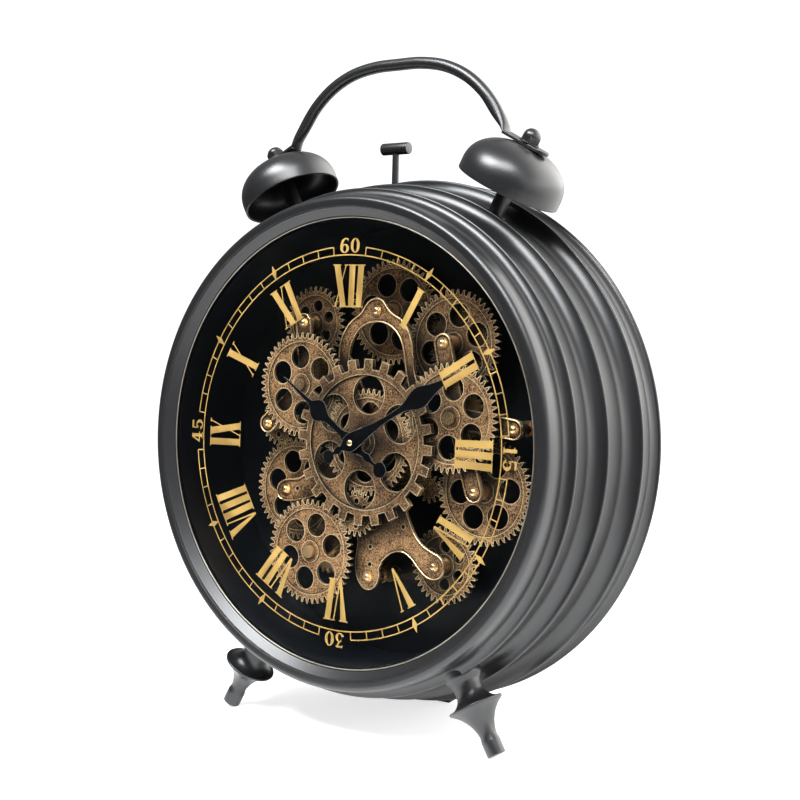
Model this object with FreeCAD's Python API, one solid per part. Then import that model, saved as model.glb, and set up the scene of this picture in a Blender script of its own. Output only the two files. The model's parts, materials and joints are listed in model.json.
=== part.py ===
import math
import os

import FreeCAD
import Part

# Directions. The clock is drawn upright, its face centre at the origin, X to the right,
# Y going back into the clock, Z up. It is leaned back on its feet at the very end.
ORIGIN = FreeCAD.Vector(0, 0, 0)
ACROSS = FreeCAD.Vector(1, 0, 0)
INWARD = FreeCAD.Vector(0, 1, 0)
UPWARD = FreeCAD.Vector(0, 0, 1)

# Fits and clearances
running_fit = 0.06
loose_fit = 0.4
overrun = 5.0

# Rolled drum. Every radius is the first band's with the steps from there, every depth the sum of the
# lengths of its stretches from the front.
sheet = 1.5
nose = 1.2
band_radius = 179.6
seat_step = 0.6
rib_rise = 7.4
second_band_rise = 1.4
second_cove_rise = 0.8
second_rib_rise = 12.2
third_band_rise = 6.2
third_cove_rise = 1.1
third_rib_rise = 12.7
last_band_rise = 7.1
last_cove_rise = 0.7
rear_rim_rise = 5.3
rear_lip_width = 13.3
cove_front = 2.4
lip_thick = 1.0
glass_thick = 2.5
pan_flange_thick = 1.2
seat_length = 2.5
first_band_length = 3.4
rib_length = 7.5
rib_fall = 3.5
second_band_length = 18.0
second_rib_length = 11.0
second_rib_fall = 3.0
third_band_length = 22.0
third_rib_length = 13.0
third_rib_fall = 3.5
last_band_length = 13.5
last_rib_length = 11.4

seat_radius = band_radius - seat_step
rib_radius = band_radius + rib_rise
second_band_radius = band_radius + second_band_rise
second_cove_radius = second_band_radius + second_cove_rise
second_rib_radius = second_band_radius + second_rib_rise
third_band_radius = second_band_radius + third_band_rise
third_cove_radius = third_band_radius + third_cove_rise
third_rib_radius = third_band_radius + third_rib_rise
last_band_radius = third_band_radius + last_band_rise
last_cove_radius = last_band_radius + last_cove_rise
rear_rim_radius = last_band_radius + rear_rim_rise
rear_lip_radius = last_band_radius - rear_lip_width
lip_back = cove_front + lip_thick
glass_back = lip_back + glass_thick
drum_front = glass_back + pan_flange_thick
seat_back = drum_front + seat_length
cove_start = seat_back + first_band_length
rib_depth = cove_start + rib_length
second_band_start = rib_depth + rib_fall
second_cove_start = second_band_start + second_band_length
second_rib_depth = second_cove_start + second_rib_length
third_band_start = second_rib_depth + second_rib_fall
third_cove_start = third_band_start + third_band_length
third_rib_depth = third_cove_start + third_rib_length
last_band_start = third_rib_depth + third_rib_fall
last_cove_start = last_band_start + last_band_length
drum_back = last_cove_start + last_rib_length

# Front bezel, lip ring, glass and the gold marks on it: widths inwards from the bezel's edge, then
# depths, which are negative in front of the face centre
bezel_step = 0.6
bezel_shoulder_width = 2.0
bezel_crown_width = 5.4
bezel_width = 9.0
cove_width = 5.7
cove_run = 1.5
lip_width = 3.1
glass_lap = 1.5
bezel_widest = 1.0
bezel_edge_front = -2.4
bezel_front = -3.9
bezel_crown = -4.9
step_front = -3.4
cove_edge_front = -2.4
cove_middle = -0.4
print_thick = 0.2
bezel_radius = band_radius + bezel_step
bezel_shoulder_radius = bezel_radius - bezel_shoulder_width
bezel_crown_radius = bezel_radius - bezel_crown_width
step_radius = bezel_radius - bezel_width
lip_radius = step_radius - cove_width
cove_middle_radius = lip_radius + cove_run
lip_opening = lip_radius - lip_width
glass_radius = lip_radius + glass_lap

# Dial pan, which hangs by its flange between the glass and the drum
pan_sheet = 1.0
pan_flange_lap = 2.0
pan_gap = 1.0
pan_floor_thick = 1.2
pan_radius = lip_opening
pan_flange_radius = glass_radius + pan_flange_lap
flange_inner_radius = pan_radius + pan_sheet + pan_gap

# Toothed wheels, all of one module
tooth_module = 1.6
pressure_angle = math.radians(20)
dedendum_share = 1.4
backlash = 0.35
fine_teeth = 48
lesser_teeth = 34
ten_rear_teeth = 26
rear_teeth = 21
small_teeth = 20
two_rear_teeth = 33
motor_teeth = 12
wheel_thick = 3.0
web_recess = 0.7
web_holes = 6
rim_width = 3.4
hub_radius = 8.6
fine_hole_radius = 8.8
fine_hole_circle = 21.3
lesser_hole_radius = 4.5
lesser_hole_circle = 13.8
small_hole_radius = 2.1
small_hole_circle = 9.2
chunky_front = 31.0
chunky_thick = 4.0
layer_gap = 1.0
plate_gap = 4.5
plate_thick = 2.0
spacer_length = 11.5
rear_layer_step = 7.5
drive_layer_step = 5.5
floor_room = 8.0
front_layer = chunky_front + chunky_thick + layer_gap
plate_front = front_layer + wheel_thick + plate_gap
middle_layer = plate_front + plate_thick + spacer_length
rear_layer = middle_layer + rear_layer_step
drive_layer = rear_layer + drive_layer_step
pan_floor = drive_layer + floor_room

# Directions from each wheel's centre to the next one's, in degrees from the right
ten_direction = 148
three_direction = 16
six_direction = -99
seven_direction = -143
eight_direction = 125
nine_direction = 112
eleven_direction = 96
two_direction = 104
four_direction = -72
five_direction = -120
twelve_direction = 159
motor_direction = -45

# Turn of the web holes of each wheel, in degrees from the top, clockwise
centre_web_turn = 5
ten_web_turn = -5
three_web_turn = 4
seven_web_turn = 14
eight_web_turn = -15
eleven_web_turn = 10
two_web_turn = 11
four_web_turn = 26
five_web_turn = 0
twelve_web_turn = -20

# Big square-toothed wheel
chunky_teeth = 24
chunky_phase = -2.8
chunky_tip_radius = 62.0
chunky_tooth_height = 7.4
chunky_tip_width = 7.0
chunky_root_width = 7.8
chunky_rim_width = 4.6
chunky_recess = 1.2
chunky_boss_radius = 11.0
chunky_hole_radius = 14.3
chunky_hole_edge = 0.2
chunky_root_radius = chunky_tip_radius - chunky_tooth_height
chunky_ring_radius = chunky_root_radius - chunky_rim_width
chunky_hole_circle = chunky_ring_radius - chunky_hole_edge - chunky_hole_radius

# Centre tube, sleeve and nut
tube_radius = 4.0
sleeve_reach = 7.0
tube_reach = 4.0
tube_flange_radius = 9.0
sleeve_radius = 6.25
nut_radius = 5.6
nut_thick = 2.6
sleeve_front = chunky_front - sleeve_reach
sleeve_back = drive_layer + wheel_thick
tube_front = sleeve_front - tube_reach

# Hands and the pipe and arbor that carry them
pipe_radius = 3.0
arbor_radius = 1.7
hand_thick = 0.8
hour_reach = 3.2
hand_pitch = 2.3
pipe_grip = 4.8
arbor_grip = 6.0
hour_front = tube_front - hour_reach
minute_front = hour_front - hand_pitch
pipe_back = pan_floor + pan_floor_thick + pipe_grip
arbor_back = pipe_back + arbor_grip
cap_radius = 2.5
cap_height = 1.4
cap_middle_share = 0.7
cap_rise_share = 0.8
cap_edge_share = 0.3
hub_half_width = 6.6
hour_direction = 305
minute_direction = 60
hour_length = 80.8
hour_tail = 32.0
hour_tail_radius = 5.7
minute_length = 108.0
minute_tail = 22.4
minute_tail_radius = 5.0
# Outline of each hand: share of its length from the pivot, then share of the hub's half width
hour_outline_shares = (
    (0.00, 1.00), (0.06, 0.86), (0.12, 0.48), (0.26, 0.39), (0.35, 0.45), (0.41, 0.83), (0.46, 1.20),
    (0.51, 1.21), (0.57, 0.68), (0.61, 0.33), (0.66, 0.26), (0.80, 0.17), (1.00, 0.04),
)
minute_outline_shares = (
    (0.00, 1.00), (0.05, 0.95), (0.11, 0.79), (0.23, 0.48), (0.37, 0.30), (0.46, 0.33), (0.53, 0.50),
    (0.59, 0.91), (0.67, 1.15), (0.74, 0.83), (0.87, 0.33), (1.00, 0.04),
)
tail_outline_shares = ((0.00, 1.00), (0.22, 0.70), (0.42, 0.30), (0.53, 0.46), (0.66, 0.28), (0.86, 0.30))

# Stamped plate of the train, its wire rims, pillars and screws
arm_half_width = 7.4
lobe_half_width = 8.6
rim_wire_radius = 0.65
journal_radius = 3.5
pillar_radius = 6.0
rivet_radius = 2.5
rivet_length = 1.6
screw_radius = 1.5
screw_length = 14.0
screw_head_radius = 2.7
screw_head_thick = 1.7
screw_dome = 0.8
crown_middle_share = 0.6
crown_rise_share = 0.7
crown_edge_share = 0.9
plate_washer_radius = 4.6
plate_washer_thick = 0.5
train_reach_share = 62.5
train_reach = tooth_module * train_reach_share
centre_disc_radius = 22.0
three_screw_shares = (1.226, 0.151)
bottom_screw_shares = (-0.015, -1.016)
arch_outer_shares = (
    (-0.343, 0.560), (-0.341, 0.640), (-0.330, 0.735), (-0.288, 0.833), (-0.217, 0.909), (-0.146, 0.956),
    (-0.100, 1.018), (-0.055, 1.058), (-0.004, 1.071), (0.047, 1.058), (0.092, 1.010), (0.143, 0.960),
    (0.219, 0.919), (0.290, 0.843), (0.331, 0.747), (0.346, 0.638), (0.361, 0.536), (0.417, 0.422),
)
arch_inner_shares = (
    (0.323, 0.422), (0.290, 0.536), (0.270, 0.650), (0.239, 0.757), (0.179, 0.838), (0.092, 0.888),
    (-0.019, 0.899), (-0.115, 0.873), (-0.191, 0.802), (-0.237, 0.701), (-0.250, 0.600), (-0.252, 0.560),
)
bracket_left_shares = (
    (-0.158, -0.400), (-0.150, -0.660), (-0.122, -0.769), (-0.136, -0.870), (-0.131, -0.997),
    (-0.085, -1.080), (-0.019, -1.113), (0.042, -1.088), (0.078, -1.030), (0.082, -0.959),
)
bracket_top_shares = (
    (0.082, -0.959), (0.113, -0.885), (0.179, -0.824), (0.267, -0.794), (0.351, -0.814),
    (0.417, -0.870), (0.475, -0.926), (0.530, -0.962), (0.600, -0.967), (0.655, -0.935),
    (0.672, -0.875), (0.640, -0.812), (0.559, -0.774), (0.475, -0.731), (0.407, -0.662),
    (0.356, -0.571), (0.315, -0.477), (0.290, -0.330),
)
eight_arm_shares = (
    (-0.540, -0.200), (-0.640, -0.282), (-0.720, -0.325), (-0.836, -0.338), (-0.915, -0.400),
    (-0.900, -0.475), (-0.836, -0.498), (-0.740, -0.488), (-0.640, -0.470), (-0.520, -0.420),
)
plate_hole_radius = 1.7
plate_hole_shares = ((0.298, -0.612), (-0.001, -0.786), (-0.001, -0.918), (-0.720, -0.400), (0.030, -0.640))

# Arbors
journal_fit_radius = 2.5
shaft_radius = 4.0
hub_pin_radius = 4.7
hub_pin_height = 3.0
arbor_tail = 2.0

# Clock movement, gear motor and their shafts
movement_width = 56.0
movement_thick = 16.0
case_wall = 2.0
motor_width = 30.0
motor_height = 40.0
motor_thick = 18.0
motor_offset = 4.4
motor_shaft_radius = 2.5
motor_shaft_grip = 8.8
motor_shaft_back = pan_floor + pan_floor_thick + motor_shaft_grip
motor_ear = 6.0
ear_thick = 2.0
ear_screw_radius = 1.4
ear_screw_head = 2.6
knob_radius = 11.0
knob_thick = 6.0
knob_gap = 1.1
knob_offset = 12.0
knob_shaft_radius = 2.0
knob_shaft_room = 10.8
knob_shaft_front = pan_floor + pan_floor_thick + knob_shaft_room
knob_flutes = 18
flute_radius = 1.2

# Back cover with its screws, switch and battery compartment
cover_lap = 9.0
cover_thick = 1.5
cover_screws_count = 8
cover_screw_inset = 5.0
cover_screw_radius = 1.6
cover_screw_head = 3.2
cover_screw_head_thick = 1.6
cover_radius = rear_lip_radius + cover_lap
cover_screw_circle = rear_lip_radius + cover_screw_inset
knob_front = drum_back + cover_thick + knob_gap
cell_radius = 7.15
cell_length = 49.5
cell_nub_radius = 2.7
cell_nub = 1.0
cell_count = 3
cell_pitch = 15.6
tray_centre = -67.0
tray_wall = 1.6
tray_depth = 18.0
contact_thick = 0.4
contact_width = 9.0
contact_spring = 1.4
spring_foot_share = 0.8
spring_tip_share = 0.4
door_side = 5.0
door_thick = 1.6
rail_width = 3.0
grip_height = 1.2
grip_width = 24.0
grip_thick = 2.0
grip_ridges = 3
switch_x = 70.0
switch_z = -20.0
switch_travel = 2.0
slider_length = 6.0
slider_width = 4.0
slider_rise = 3.0
switch_body_length = 26.0
switch_body_width = 12.0
switch_body_thick = 9.0

# Bells, their posts, nuts and washers
bell_angle = 28.2
bell_setback = 5.5
bell_clearance = 24.6
bell_radius = 38.8
bell_height = 33.1
bell_skirt = 6.6
bell_wall = 1.6
bell_roundness = 2.25
dome_steps = 12
post_radius = 6.0
post_foot_radius = 8.5
post_foot_rise = 3.4
thread_radius = 3.0
washer_radius = 7.6
washer_thick = 1.0
crown_fall = 0.25
acorn_flats = 13.0
acorn_hex = 4.6
acorn_dome_radius = 6.3
acorn_top = 5.2
acorn_middle_share = 0.75
acorn_rise_share = 0.66
stud_nut_flats = 10.0
stud_nut_thick = 4.0
bell_depth = third_band_start + bell_setback
bell_rim_distance = third_band_radius + bell_clearance
bell_top = bell_rim_distance + bell_height
post_foot_height = third_band_radius + post_foot_rise

# Handle
rod_radius = 4.5
tab_thick = 2.5
tab_half_width = 6.5
tab_inner = 25.0
tab_outer = 18.0
handle_crown = 55.9
handle_inset = 20.7
bell_tilt = math.radians(bell_angle)
handle_foot = bell_top * math.cos(bell_tilt) + tab_inner * math.sin(bell_tilt)
handle_half_span = bell_top * math.sin(bell_tilt) - handle_inset
# Centreline of half the handle: share of its half span, share of its height over its feet
handle_shares = (
    (0.000, 1.000), (0.221, 0.993), (0.472, 0.909), (0.663, 0.751), (0.821, 0.525), (0.947, 0.239),
)
neck_shares = (0.972, 0.109)
neck_lean = 0.62
neck_half_thick = 3.0
# Half sizes of the last two ovals, as shares of the tab's half width and of its thickness
tab_start_shares = (0.96, 0.46)
tab_end_shares = (0.90, 0.40)
oval_points = 16
handle_sections = 12

# Hammer on its pivot
hammer_pivot_drop = 14.2
hammer_rise = 33.3
hammer_head_length = 24.0
hammer_head_radius = 4.5
hammer_rod_radius = 2.6
hammer_eye_radius = 5.0
hammer_pin_radius = 2.0
hammer_eye_half = 3.0
hammer_swing = 20
cheek_thick = 1.5
cheek_half_width = 7.0
bracket_half_length = 14.0
bracket_drop = 3.6
bracket_plate = 1.8
slot_room = 1.57
slot_half_width = 3.4
hammer_pivot = third_band_radius - hammer_pivot_drop
hammer_height = third_band_radius + hammer_rise
swing = math.radians(hammer_swing)
slot_half_length = hammer_pivot_drop * math.tan(swing) + hammer_rod_radius / math.cos(swing) + slot_room
bracket_top = third_band_radius - bracket_drop

# Feet: radius at each turning of the profile, and the lengths between them from the drum outwards
foot_angle = 30.4
foot_setback = 7.1
foot_sink = 5.0
stud_sink = 11.0
stud_reach = 33.0
collar_radius = 14.0
collar_height = 6.0
collar_fall_radius = 11.4
collar_fall_length = 3.5
neck_radius = 10.5
neck_length = 5.5
flare_middle_radius = 12.8
flare_length = 8.5
flare_radius = 20.0
flare_tip_length = 3.6
flare_edge = 1.2
stem_middle_radius = 11.2
stem_taper_length = 9.4
stem_top_radius = 6.1
stem_top_length = 13.5
stem_radius = 6.8
stem_step_length = 4.0
stem_length = 10.7
foot_rounding = 0.8
foot_depth = second_band_start + foot_setback
foot_start = second_band_radius - foot_sink
stud_start = second_band_radius - stud_sink
stud_end = second_band_radius + stud_reach
collar_end = second_band_radius + collar_height
collar_fall = collar_end + collar_fall_length
neck_end = collar_fall + neck_length
flare_middle = neck_end + flare_length
flare_end = flare_middle + flare_tip_length
stem_middle = flare_end + stem_taper_length
stem_top = stem_middle + stem_top_length
stem_step = stem_top + stem_step_length
foot_end = stem_step + stem_length

# Rubber pad between the drum's rear edge and the table
pad_thick = 1.5
pad_half_length = 30.0
halvings = 40
pad_width = 8.2
pad_front = drum_back - nose - pad_width

# Minute track and numerals: rings, line widths and letter sizes
print_turn = 0.9
track_inset = 25.4
track_width = 6.0
line_width = 0.9
diamond_inner_reach = 1.0
diamond_outer_reach = 5.0
diamond_half_width = 2.1
diamond_slant = 0.8
minutes = 60
number_rise = 0.75
number_height = 11.0
digit_width = 8.0
digit_gap = 1.6
digit_stem = 2.5
digit_hairline = 0.8
# Places inside a digit, as shares of its height, half width, stem or hairline
four_stem_share = 1.6
four_bar_share = 0.26
four_slant_share = 1.4
four_bar_thick_share = 1.3
six_bowl_share = 0.30
six_swell_share = 1.25
six_cut_share = 0.80
six_crown_share = 0.70
crown_reach_share = 0.90
mouth_share = 0.60
lower_bowl_share = 0.31
lower_mouth_share = 0.24
five_neck_share = 0.45
three_waist_share = 0.56
numeral_inset = 7.0
numeral_height = 31.0
hairline = 0.9
bar_top = 5.2
bar_foot = 5.0
stroke_gap_top = 2.7
stroke_gap_foot = 2.0
serif_reach = 1.1
letter_x_top = 11.6
letter_x_foot = 10.6
letter_v_top = 12.4
thick_top = 5.4
track_inner = lip_opening - track_inset
track_outer = track_inner + track_width
diamond_inner = track_inner - diamond_inner_reach
diamond_outer = track_outer + diamond_outer_reach
number_radius = track_outer + number_rise
numeral_top = track_inner - numeral_inset
numeral_foot = numeral_top - numeral_height
numeral_words = ("I", "II", "III", "IA", "V", "VI", "VII", "VIII", "IX", "X", "XI", "XII")

# Places of the wheels, found by stepping from centre to centre


def step_to(spot, direction, teeth_here, teeth_there):
    """Centre of a wheel in mesh with the one at spot, in the given direction."""
    reach = (teeth_here + teeth_there) * tooth_module / 2
    angle = math.radians(direction)
    return (spot[0] + reach * math.cos(angle), spot[1] + reach * math.sin(angle))


centre_spot = (0, 0)
ten_spot = step_to(centre_spot, ten_direction, fine_teeth, fine_teeth)
three_spot = step_to(centre_spot, three_direction, fine_teeth, fine_teeth)
six_spot = step_to(centre_spot, six_direction, fine_teeth, small_teeth)
seven_spot = step_to(six_spot, seven_direction, small_teeth, fine_teeth)
eight_spot = step_to(seven_spot, eight_direction, rear_teeth, fine_teeth)
nine_spot = step_to(eight_spot, nine_direction, fine_teeth, small_teeth)
eleven_spot = step_to(ten_spot, eleven_direction, ten_rear_teeth, lesser_teeth)
two_spot = step_to(three_spot, two_direction, rear_teeth, fine_teeth)
four_spot = step_to(three_spot, four_direction, rear_teeth, fine_teeth)
five_spot = step_to(four_spot, five_direction, fine_teeth, lesser_teeth)
twelve_spot = step_to(two_spot, twelve_direction, two_rear_teeth, fine_teeth)
motor_spot = step_to(centre_spot, motor_direction, fine_teeth, motor_teeth)
three_screw_spot = (three_screw_shares[0] * train_reach, three_screw_shares[1] * train_reach)
bottom_screw_spot = (bottom_screw_shares[0] * train_reach, bottom_screw_shares[1] * train_reach)
screw_spots = (twelve_spot, eleven_spot, two_spot, three_screw_spot, four_spot, nine_spot, eight_spot,
               bottom_screw_spot, five_spot)
arbor_spots = (ten_spot, three_spot, six_spot, seven_spot)


# Shape helpers


def flat_point(corner):
    """Corner given as (sideways, up) on the plane through the face centre."""
    return FreeCAD.Vector(corner[0], 0, corner[1])


def section(corners):
    """Closed flat outline. A corner written as a pair of corners is an arc through the first."""
    edges = []
    here = corners[0]
    for corner in corners[1:] + [corners[0]]:
        if isinstance(corner[0], tuple):
            middle, end = corner
            edges.append(Part.Arc(flat_point(here), flat_point(middle), flat_point(end)).toShape())
        elif corner != here:
            end = corner
            edges.append(Part.makeLine(flat_point(here), flat_point(end)))
        here = end
    return Part.Wire(edges)


def turned(corners):
    """Solid turned about the upward axis from (radius, height) corners."""
    return Part.Face(section(corners)).revolve(ORIGIN, UPWARD, 360)


def facing_inward(shape, spot=(0, 0)):
    """Lay a piece drawn along the upward axis down into the clock, at a spot of the face."""
    laid = shape.copy()
    laid.rotate(ORIGIN, ACROSS, -90)
    laid.translate(flat_point(spot))
    return laid


def turned_inward(corners, spot=(0, 0)):
    """Solid turned about the axis into the clock from (radius, depth) corners."""
    return facing_inward(turned(corners), spot)


def rod(radius, front, back, spot=(0, 0)):
    """Round rod into the clock between two depths."""
    start = FreeCAD.Vector(spot[0], front, spot[1])
    return Part.makeCylinder(radius, back - front, start, INWARD)


def tube(outer, inner, front, back, spot=(0, 0)):
    """Round tube into the clock between two depths."""
    return rod(outer, front, back, spot).cut(rod(inner, front - overrun, back + overrun, spot))


def slab(wires, front, thick):
    """Plate cut from flat outlines, its front face at the given depth."""
    face = Part.makeFace(wires, "Part::FaceMakerBullseye")
    plate = face.extrude(INWARD * thick)
    plate.translate(INWARD * front)
    return plate


def ring_wire(radius, spot=(0, 0)):
    """Flat circle on the plane of the face."""
    return Part.Wire(Part.makeCircle(radius, flat_point(spot), INWARD))


def block(left, right, front, back, low, high):
    """Box between two places on each axis."""
    return Part.makeBox(right - left, back - front, high - low, FreeCAD.Vector(left, front, low))


def joined(shapes):
    """One solid from several that touch or overlap."""
    return shapes[0].multiFuse(list(shapes[1:])).removeSplitter()


def group(shapes):
    """Several separate solids kept under one name."""
    solids = []
    for shape in shapes:
        solids.extend(shape.Solids)
    return Part.makeCompound(solids)


def both_sides(shape):
    """A piece and its mirror image across the middle."""
    return [shape, shape.mirror(ORIGIN, ACROSS)]


def smooth_curve(corners):
    """Smooth curve through flat corners."""
    curve = Part.BSplineCurve()
    curve.interpolate([flat_point(corner) for corner in corners])
    return curve.toShape()


def on_train(shares):
    """Shares of the train's reach as places on the face."""
    return [(across * train_reach, up * train_reach) for across, up in shares]


def polar(radius, angle):
    """Place on the face at a radius and an angle from the right."""
    return (radius * math.cos(angle), radius * math.sin(angle))


def set_out(shape, depth, angle):
    """Turn a piece drawn along the upward axis to a direction from the top, at a depth."""
    turned_piece = shape.copy()
    turned_piece.rotate(ORIGIN, INWARD, angle)
    turned_piece.translate(INWARD * depth)
    return turned_piece


# Drum, bezel, glass and pan


def rib(foot, crest):
    """Cove rising from the foot to the rounded nose at the crest, then over it."""
    nose_start = (crest[0] - nose, crest[1] - nose)
    nose_end = (crest[0] - nose, crest[1] + nose)
    eighth = math.radians(45)
    middle = (foot[0] + (nose_start[0] - foot[0]) * (1 - math.cos(eighth)),
              foot[1] + (nose_start[1] - foot[1]) * math.sin(eighth))
    return [foot, (middle, nose_start), (crest, nose_end)]


def drum_outside():
    """Corners of the drum's outside from front to back."""
    corners = [(seat_radius, drum_front), (seat_radius, seat_back), (band_radius, seat_back)]
    corners += rib((band_radius, cove_start), (rib_radius, rib_depth))
    corners += [(second_band_radius, second_band_start)]
    corners += rib((second_cove_radius, second_cove_start), (second_rib_radius, second_rib_depth))
    corners += [(third_band_radius, third_band_start)]
    corners += rib((third_cove_radius, third_cove_start), (third_rib_radius, third_rib_depth))
    corners += [(last_band_radius, last_band_start)]
    corners += rib((last_cove_radius, last_cove_start), (rear_rim_radius, drum_back - nose))
    return corners


def drum_inside():
    """Corners of the drum's inside from back to front, a sheet below the bands."""
    return [
        (rear_lip_radius, drum_back), (rear_lip_radius, drum_back - sheet),
        (last_band_radius - sheet, drum_back - sheet), (last_band_radius - sheet, last_band_start + sheet),
        (third_band_radius - sheet, third_cove_start), (third_band_radius - sheet, third_band_start + sheet),
        (second_band_radius - sheet, second_cove_start),
        (second_band_radius - sheet, second_band_start + sheet),
        (seat_radius - sheet, cove_start), (seat_radius - sheet, drum_front + sheet),
        (flange_inner_radius, drum_front + sheet), (flange_inner_radius, drum_front),
    ]


def drum_block():
    """The drum as if it were solid, used to fit other pieces to its outside."""
    return turned_inward([(0, drum_front)] + drum_outside() + [(0, drum_back)])


def case_drum():
    """Rolled drum with its holes for feet, bell posts, hammer and cover screws."""
    drum = turned_inward(drum_outside() + drum_inside())
    stud_hole = Part.makeCylinder(thread_radius, overrun + foot_end - stud_start, UPWARD * stud_start)
    foot_hole = set_out(stud_hole, foot_depth, 180 - foot_angle)
    post_hole = set_out(stud_hole, bell_depth, bell_angle)
    slot = block(-slot_half_length, slot_half_length, bell_depth - slot_half_width,
                 bell_depth + slot_half_width, hammer_pivot, hammer_height)
    cuts = both_sides(foot_hole) + both_sides(post_hole) + [slot]
    for spot in cover_screw_spots():
        cuts.append(rod(cover_screw_radius, drum_back - sheet - overrun, drum_back + overrun, spot))
    return drum.cut(cuts)


def front_bezel():
    """Turned ring with a cove, a step and a rounded band."""
    return turned_inward([
        (lip_radius, cove_front), ((cove_middle_radius, cove_middle), (step_radius, cove_edge_front)),
        (step_radius, step_front), ((bezel_crown_radius, bezel_crown), (bezel_shoulder_radius, bezel_front)),
        ((bezel_radius - nose / 2, bezel_edge_front), (bezel_radius, bezel_widest)),
        (bezel_radius, seat_back), (seat_radius, seat_back), (seat_radius, drum_front),
        (pan_flange_radius, drum_front), (pan_flange_radius, glass_back),
        (glass_radius, glass_back), (glass_radius, lip_back), (lip_radius, lip_back),
    ])


def dial_pan():
    """Deep black pan with holes for arbors, pillars, centre tube and motor shaft."""
    pan = turned_inward([
        (0, pan_floor), (pan_radius, pan_floor), (pan_radius, glass_back), (pan_flange_radius, glass_back),
        (pan_flange_radius, drum_front), (pan_radius + pan_sheet, drum_front),
        (pan_radius + pan_sheet, pan_floor + pan_floor_thick), (0, pan_floor + pan_floor_thick),
    ])
    cuts = [rod(tube_radius, pan_floor - overrun, pan_floor + overrun)]
    cuts.append(rod(motor_shaft_radius + running_fit, pan_floor - overrun, pan_floor + overrun, motor_spot))
    for spot in arbor_spots:
        cuts.append(rod(journal_fit_radius + running_fit, pan_floor - overrun, pan_floor + overrun, spot))
    for spot in screw_spots:
        cuts.append(rod(rivet_radius, pan_floor - overrun, pan_floor + overrun, spot))
    return pan.cut(cuts)


# Toothed wheels


def unrolled(base, radius):
    """Angle of an involute between its base circle and a radius."""
    roll = math.sqrt(max((radius / base) ** 2 - 1, 0))
    return roll - math.atan(roll)


def tooth_outline(teeth, phase):
    """Closed outline of a wheel with involute teeth, one tooth centred at the phase angle."""
    pitch_radius = teeth * tooth_module / 2
    tip = pitch_radius + tooth_module
    root = pitch_radius - tooth_module * dedendum_share
    base = pitch_radius * math.cos(pressure_angle)
    start = max(base, root)
    middle = (start + tip) / 2
    half = (math.pi * tooth_module / 2 - backlash) / 2 / pitch_radius + unrolled(base, pitch_radius)
    corners = []
    for number in range(teeth):
        angle = phase + 2 * math.pi * number / teeth
        if root < base:
            corners.append(polar(root, angle - half))
        corners.append(polar(start, angle - half + unrolled(base, start)))
        spread = half - unrolled(base, middle)
        tip_spread = half - unrolled(base, tip)
        corners.append((polar(middle, angle - spread), polar(tip, angle - tip_spread)))
        corners.append((polar(tip, angle), polar(tip, angle + tip_spread)))
        corners.append((polar(middle, angle + spread), polar(start, angle + half - unrolled(base, start))))
        if root < base:
            corners.append(polar(root, angle + half))
    return section(corners)


def meshing_phase(phase, teeth, direction, teeth_next):
    """Phase of the next wheel so that its gaps take the teeth of this one."""
    angle = math.radians(direction)
    pitches = (angle - phase) * teeth / (2 * math.pi)
    return angle + math.pi - (1 / 2 - pitches) * 2 * math.pi / teeth_next


def moved_wire(wire, spot):
    """Outline moved to a spot of the face."""
    moved = wire.copy()
    moved.translate(flat_point(spot))
    return moved


def hole_wires(spot, count, hole_radius, hole_circle, turn):
    """Round holes evenly spaced on a circle, the first turned clockwise from the top."""
    wires = []
    for number in range(count):
        x, z = polar(hole_circle, math.radians(90 - turn) + 2 * math.pi * number / count)
        wires.append(ring_wire(hole_radius, (spot[0] + x, spot[1] + z)))
    return wires


def fine_wheel(spot, teeth, phase, front, bore, turn):
    """Fine-toothed wheel with a recessed web and six holes."""
    hole_radius, hole_circle = fine_hole_radius, fine_hole_circle
    if teeth < fine_teeth:
        hole_radius, hole_circle = lesser_hole_radius, lesser_hole_circle
    wires = [moved_wire(tooth_outline(teeth, phase), spot), ring_wire(bore, spot)]
    wires += hole_wires(spot, web_holes, hole_radius, hole_circle, turn)
    wheel = slab(wires, front, wheel_thick)
    ring_radius = teeth * tooth_module / 2 - tooth_module * dedendum_share - rim_width
    return wheel.cut(tube(ring_radius, hub_radius, front - overrun, front + web_recess, spot))


def small_wheel(spot, phase, front, bore):
    """Twenty-toothed wheel with six small holes."""
    wires = [moved_wire(tooth_outline(small_teeth, phase), spot), ring_wire(bore, spot)]
    wires += hole_wires(spot, web_holes, small_hole_radius, small_hole_circle, 0)
    return slab(wires, front, wheel_thick)


def chunky_wheel():
    """Big wheel with square teeth, a raised ring, a recessed web and six large holes."""
    corners = []
    for number in range(chunky_teeth):
        angle = math.radians(chunky_phase) + 2 * math.pi * number / chunky_teeth
        tip_half = chunky_tip_width / 2 / chunky_tip_radius
        root_half = chunky_root_width / 2 / chunky_root_radius
        corners += [polar(chunky_root_radius, angle - root_half), polar(chunky_tip_radius, angle - tip_half)]
        corners += [(polar(chunky_tip_radius, angle), polar(chunky_tip_radius, angle + tip_half))]
        corners += [polar(chunky_root_radius, angle + root_half)]
    wires = [section(corners), ring_wire(sleeve_radius)]
    wires += hole_wires(centre_spot, web_holes, chunky_hole_radius, chunky_hole_circle, centre_web_turn)
    wheel = slab(wires, chunky_front, chunky_thick)
    recess = tube(chunky_ring_radius, chunky_boss_radius, chunky_front - overrun,
                  chunky_front + chunky_recess)
    return wheel.cut(recess)


def plain_gear(spot, teeth, phase, front):
    """Toothed disc without a bore, to be joined to an arbor."""
    return slab([moved_wire(tooth_outline(teeth, phase), spot)], front, wheel_thick)


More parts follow.
